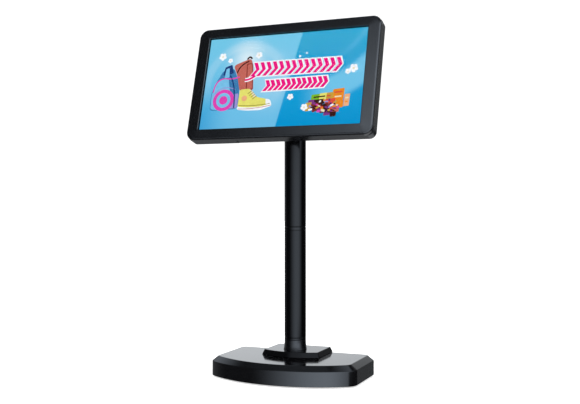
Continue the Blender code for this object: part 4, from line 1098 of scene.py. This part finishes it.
def studio_light(azimuth, elevation):
    """Colour that glossy surfaces see in a direction. Azimuth 0 is in front, 90 at the right."""
    turn = 18.0 * smooth(4.0, 9.0, elevation)
    low = 3.0 * smooth(-45.0 + turn, 31.0 + turn, azimuth)
    under = smooth(-9.6, -11.2, elevation)
    low *= 1 - smooth(50.0 + 1.5 * turn, 102.0 + 1.5 * turn, azimuth)
    low *= 1 - under * smooth(30.0, 70.0, azimuth)
    low *= (1 - 0.8 * smooth(-16.0, -32.0, elevation)) * (1 - 0.80 * smooth(2.5, 11.0, elevation))
    high = 1.8 * smooth(-30.0, -13.0, azimuth) + 0.8 * smooth(-12.0, 20.0, azimuth)
    high *= (1 - 0.60 * smooth(55.0, 90.0, azimuth)) * (1 - smooth(112.0, 138.0, azimuth))
    high *= 1 - smooth(40.0, 46.5, elevation)
    rise = smooth(20.0, 29.0, elevation)
    front = low * (1 - rise) + high * rise

    left = 0.60 * smooth(15.0, 30.0, elevation) * (1 - smooth(30.0, 58.0, elevation))
    left *= smooth(-85.0, -105.0, azimuth) * (1 - smooth(-125.0, -145.0, azimuth))

    around = azimuth if azimuth < 0 else azimuth - 360.0
    backdrop = (1.24 - 0.012 * max(-155.0 - around, 0.0)) * (1 - smooth(16.0, 35.0, abs(around + 163.0)))
    backdrop *= (0.3 + 0.7 * smooth(-6.0, 0.0, elevation)) * (1 - smooth(-14.0, -30.0, elevation))
    backdrop *= 1 - smooth(16.0, 50.0, elevation)
    side = (0.12 + 0.07 * smooth(0.0, 8.0, elevation)) * smooth(148.0, 158.0, azimuth)
    side += 0.30 * smooth(-75.0, -110.0, azimuth) * (1 - 0.35 * smooth(-20.0, -40.0, elevation))
    side *= 1 - smooth(25.0, 50.0, elevation)

    ambient = 0.015 + 0.10 * smooth(45.0, 58.0, elevation) + 0.12 * smooth(60.0, 80.0, elevation)
    behind = 0.75 * smooth(-228.0, -206.0, around) * (1 - smooth(-172.0, -152.0, around))
    behind *= smooth(-18.0, -30.0, elevation) * (1 - 0.6 * smooth(-48.0, -75.0, elevation))
    overhead = 0.8 * smooth(48.0, 62.0, elevation) * smooth(100.0, 130.0, abs(azimuth))
    cool = front + left + ambient + overhead
    plain = max(backdrop, side, behind)
    return (0.88 * cool + 0.96 * plain, cool + plain, 1.16 * cool + 1.04 * plain)


def reflection_dome():
    """A large sphere that only glossy rays see: soft boxes in front, a pale backdrop behind, dark elsewhere."""
    mesh = bmesh.new()
    bmesh.ops.create_uvsphere(mesh, u_segments=240, v_segments=120, radius=6.0)
    dome = blank("reflection_dome", mesh)
    dome.location = (0.0, 0.0, 0.2)
    glow = dome.data.attributes.new("glow", "FLOAT_COLOR", "POINT")
    for vertex in dome.data.vertices:
        x, y, z = vertex.co.normalized()
        azimuth = math.degrees(math.atan2(x, -y))
        glow.data[vertex.index].color = (*studio_light(azimuth, math.degrees(math.asin(z))), 1.0)
    material = bpy.data.materials.new("reflection_dome")
    material.use_nodes = True
    tree = material.node_tree
    tree.nodes.remove(tree.nodes["Principled BSDF"])
    reader = tree.nodes.new("ShaderNodeAttribute")
    reader.attribute_name = "glow"
    emission = add(tree, "Emission", {"Color": reader.outputs["Color"]})
    fill(tree.nodes["Material Output"], {"Surface": emission.outputs["Emission"]})
    material.cycles.emission_sampling = "NONE"
    dome.data.materials.append(material)
    dome.data.shade_smooth()
    for ray in ("camera", "diffuse", "shadow", "transmission", "volume_scatter"):
        setattr(dome, "visible_" + ray, False)


def studio():
    """A plain pale floor, an even white surround and one soft light from above."""
    world = bpy.data.worlds.new("studio")
    world.use_nodes = True
    fill(world.node_tree.nodes["Background"], {"Color": (1.0, 1.0, 1.0, 1.0), "Strength": 1.15})
    world.cycles_visibility.glossy = False
    bpy.context.scene.world = world

    mesh = bmesh.new()
    bmesh.ops.create_grid(mesh, x_segments=1, y_segments=1, size=12.0)
    floor = blank("floor", mesh)
    floor.location = (0.0, 0.0, CAD_BOX[0].z)
    material, tree, principled = shader("floor", (0.93, 0.93, 0.93), 0.9, specular=0.0)
    fill(principled, {"Emission Color": (1.0, 1.0, 1.0, 1.0), "Emission Strength": 0.60})
    floor.data.materials.append(material)
    floor.visible_glossy = False

    light = bpy.data.lights.new("soft_box", "AREA")
    light.shape = "DISK"
    light.size = 1.2
    light.energy = 18.0
    lamp = link("soft_box", light)
    lamp.location = (-0.5, -1.0, 2.0)
    lamp.rotation_euler = (Vector((0.0, 0.0, 0.2)) - lamp.location).to_track_quat("-Z", "Y").to_euler()
    lamp.visible_glossy = False
    reflection_dome()


def camera():
    """The viewpoint: in front, to the right, at the pole's middle height, looking almost level."""
    turn = math.radians(22.31)
    pitch = math.radians(0.38)
    distance = 1.13819
    aside = 0.00706
    height = 0.22434
    right = Vector((math.cos(turn), math.sin(turn), 0.0))
    ahead = Vector((-math.sin(turn), math.cos(turn), 0.0))
    up = Vector((0.0, 0.0, 1.0))
    look = ahead * math.cos(pitch) + up * math.sin(pitch)
    top = up * math.cos(pitch) - ahead * math.sin(pitch)
    data = bpy.data.cameras.new("camera")
    data.sensor_width = 36.0
    data.lens = 52.54
    data.clip_end = 60.0
    view = link("camera", data)
    place = Vector((*POLE, height)) - ahead * distance - right * aside
    view.matrix_world = Matrix.Translation(place) @ Matrix((right, top, -look)).transposed().to_4x4()
    bpy.context.scene.camera = view


camera()
studio()
dress_kept_nodes()
base_moulding()
flange_moulding()
pole_pieces()
rubber_feet()
visible_screws()
tilt_bolt()
yoke()
bracket()
bezel_moulding()
rear_moulding()
grommet("cable_grommet", 0.0045, 0.0060, 0.0080, (BASE_BACK - BASE_WALL, BASE_BACK), OUTLET, MIDDLE_ROUND,
        "stand")
grommet("inlet_grommet", 0.0050, 0.0084, 0.0105, (INNER_BACK, DISPLAY_DEPTH), AXIS, WIDE_ROUND, "display",
        SCREEN)
power_button()
draw_picture()

bpy.context.scene.view_settings.view_transform = "Standard"
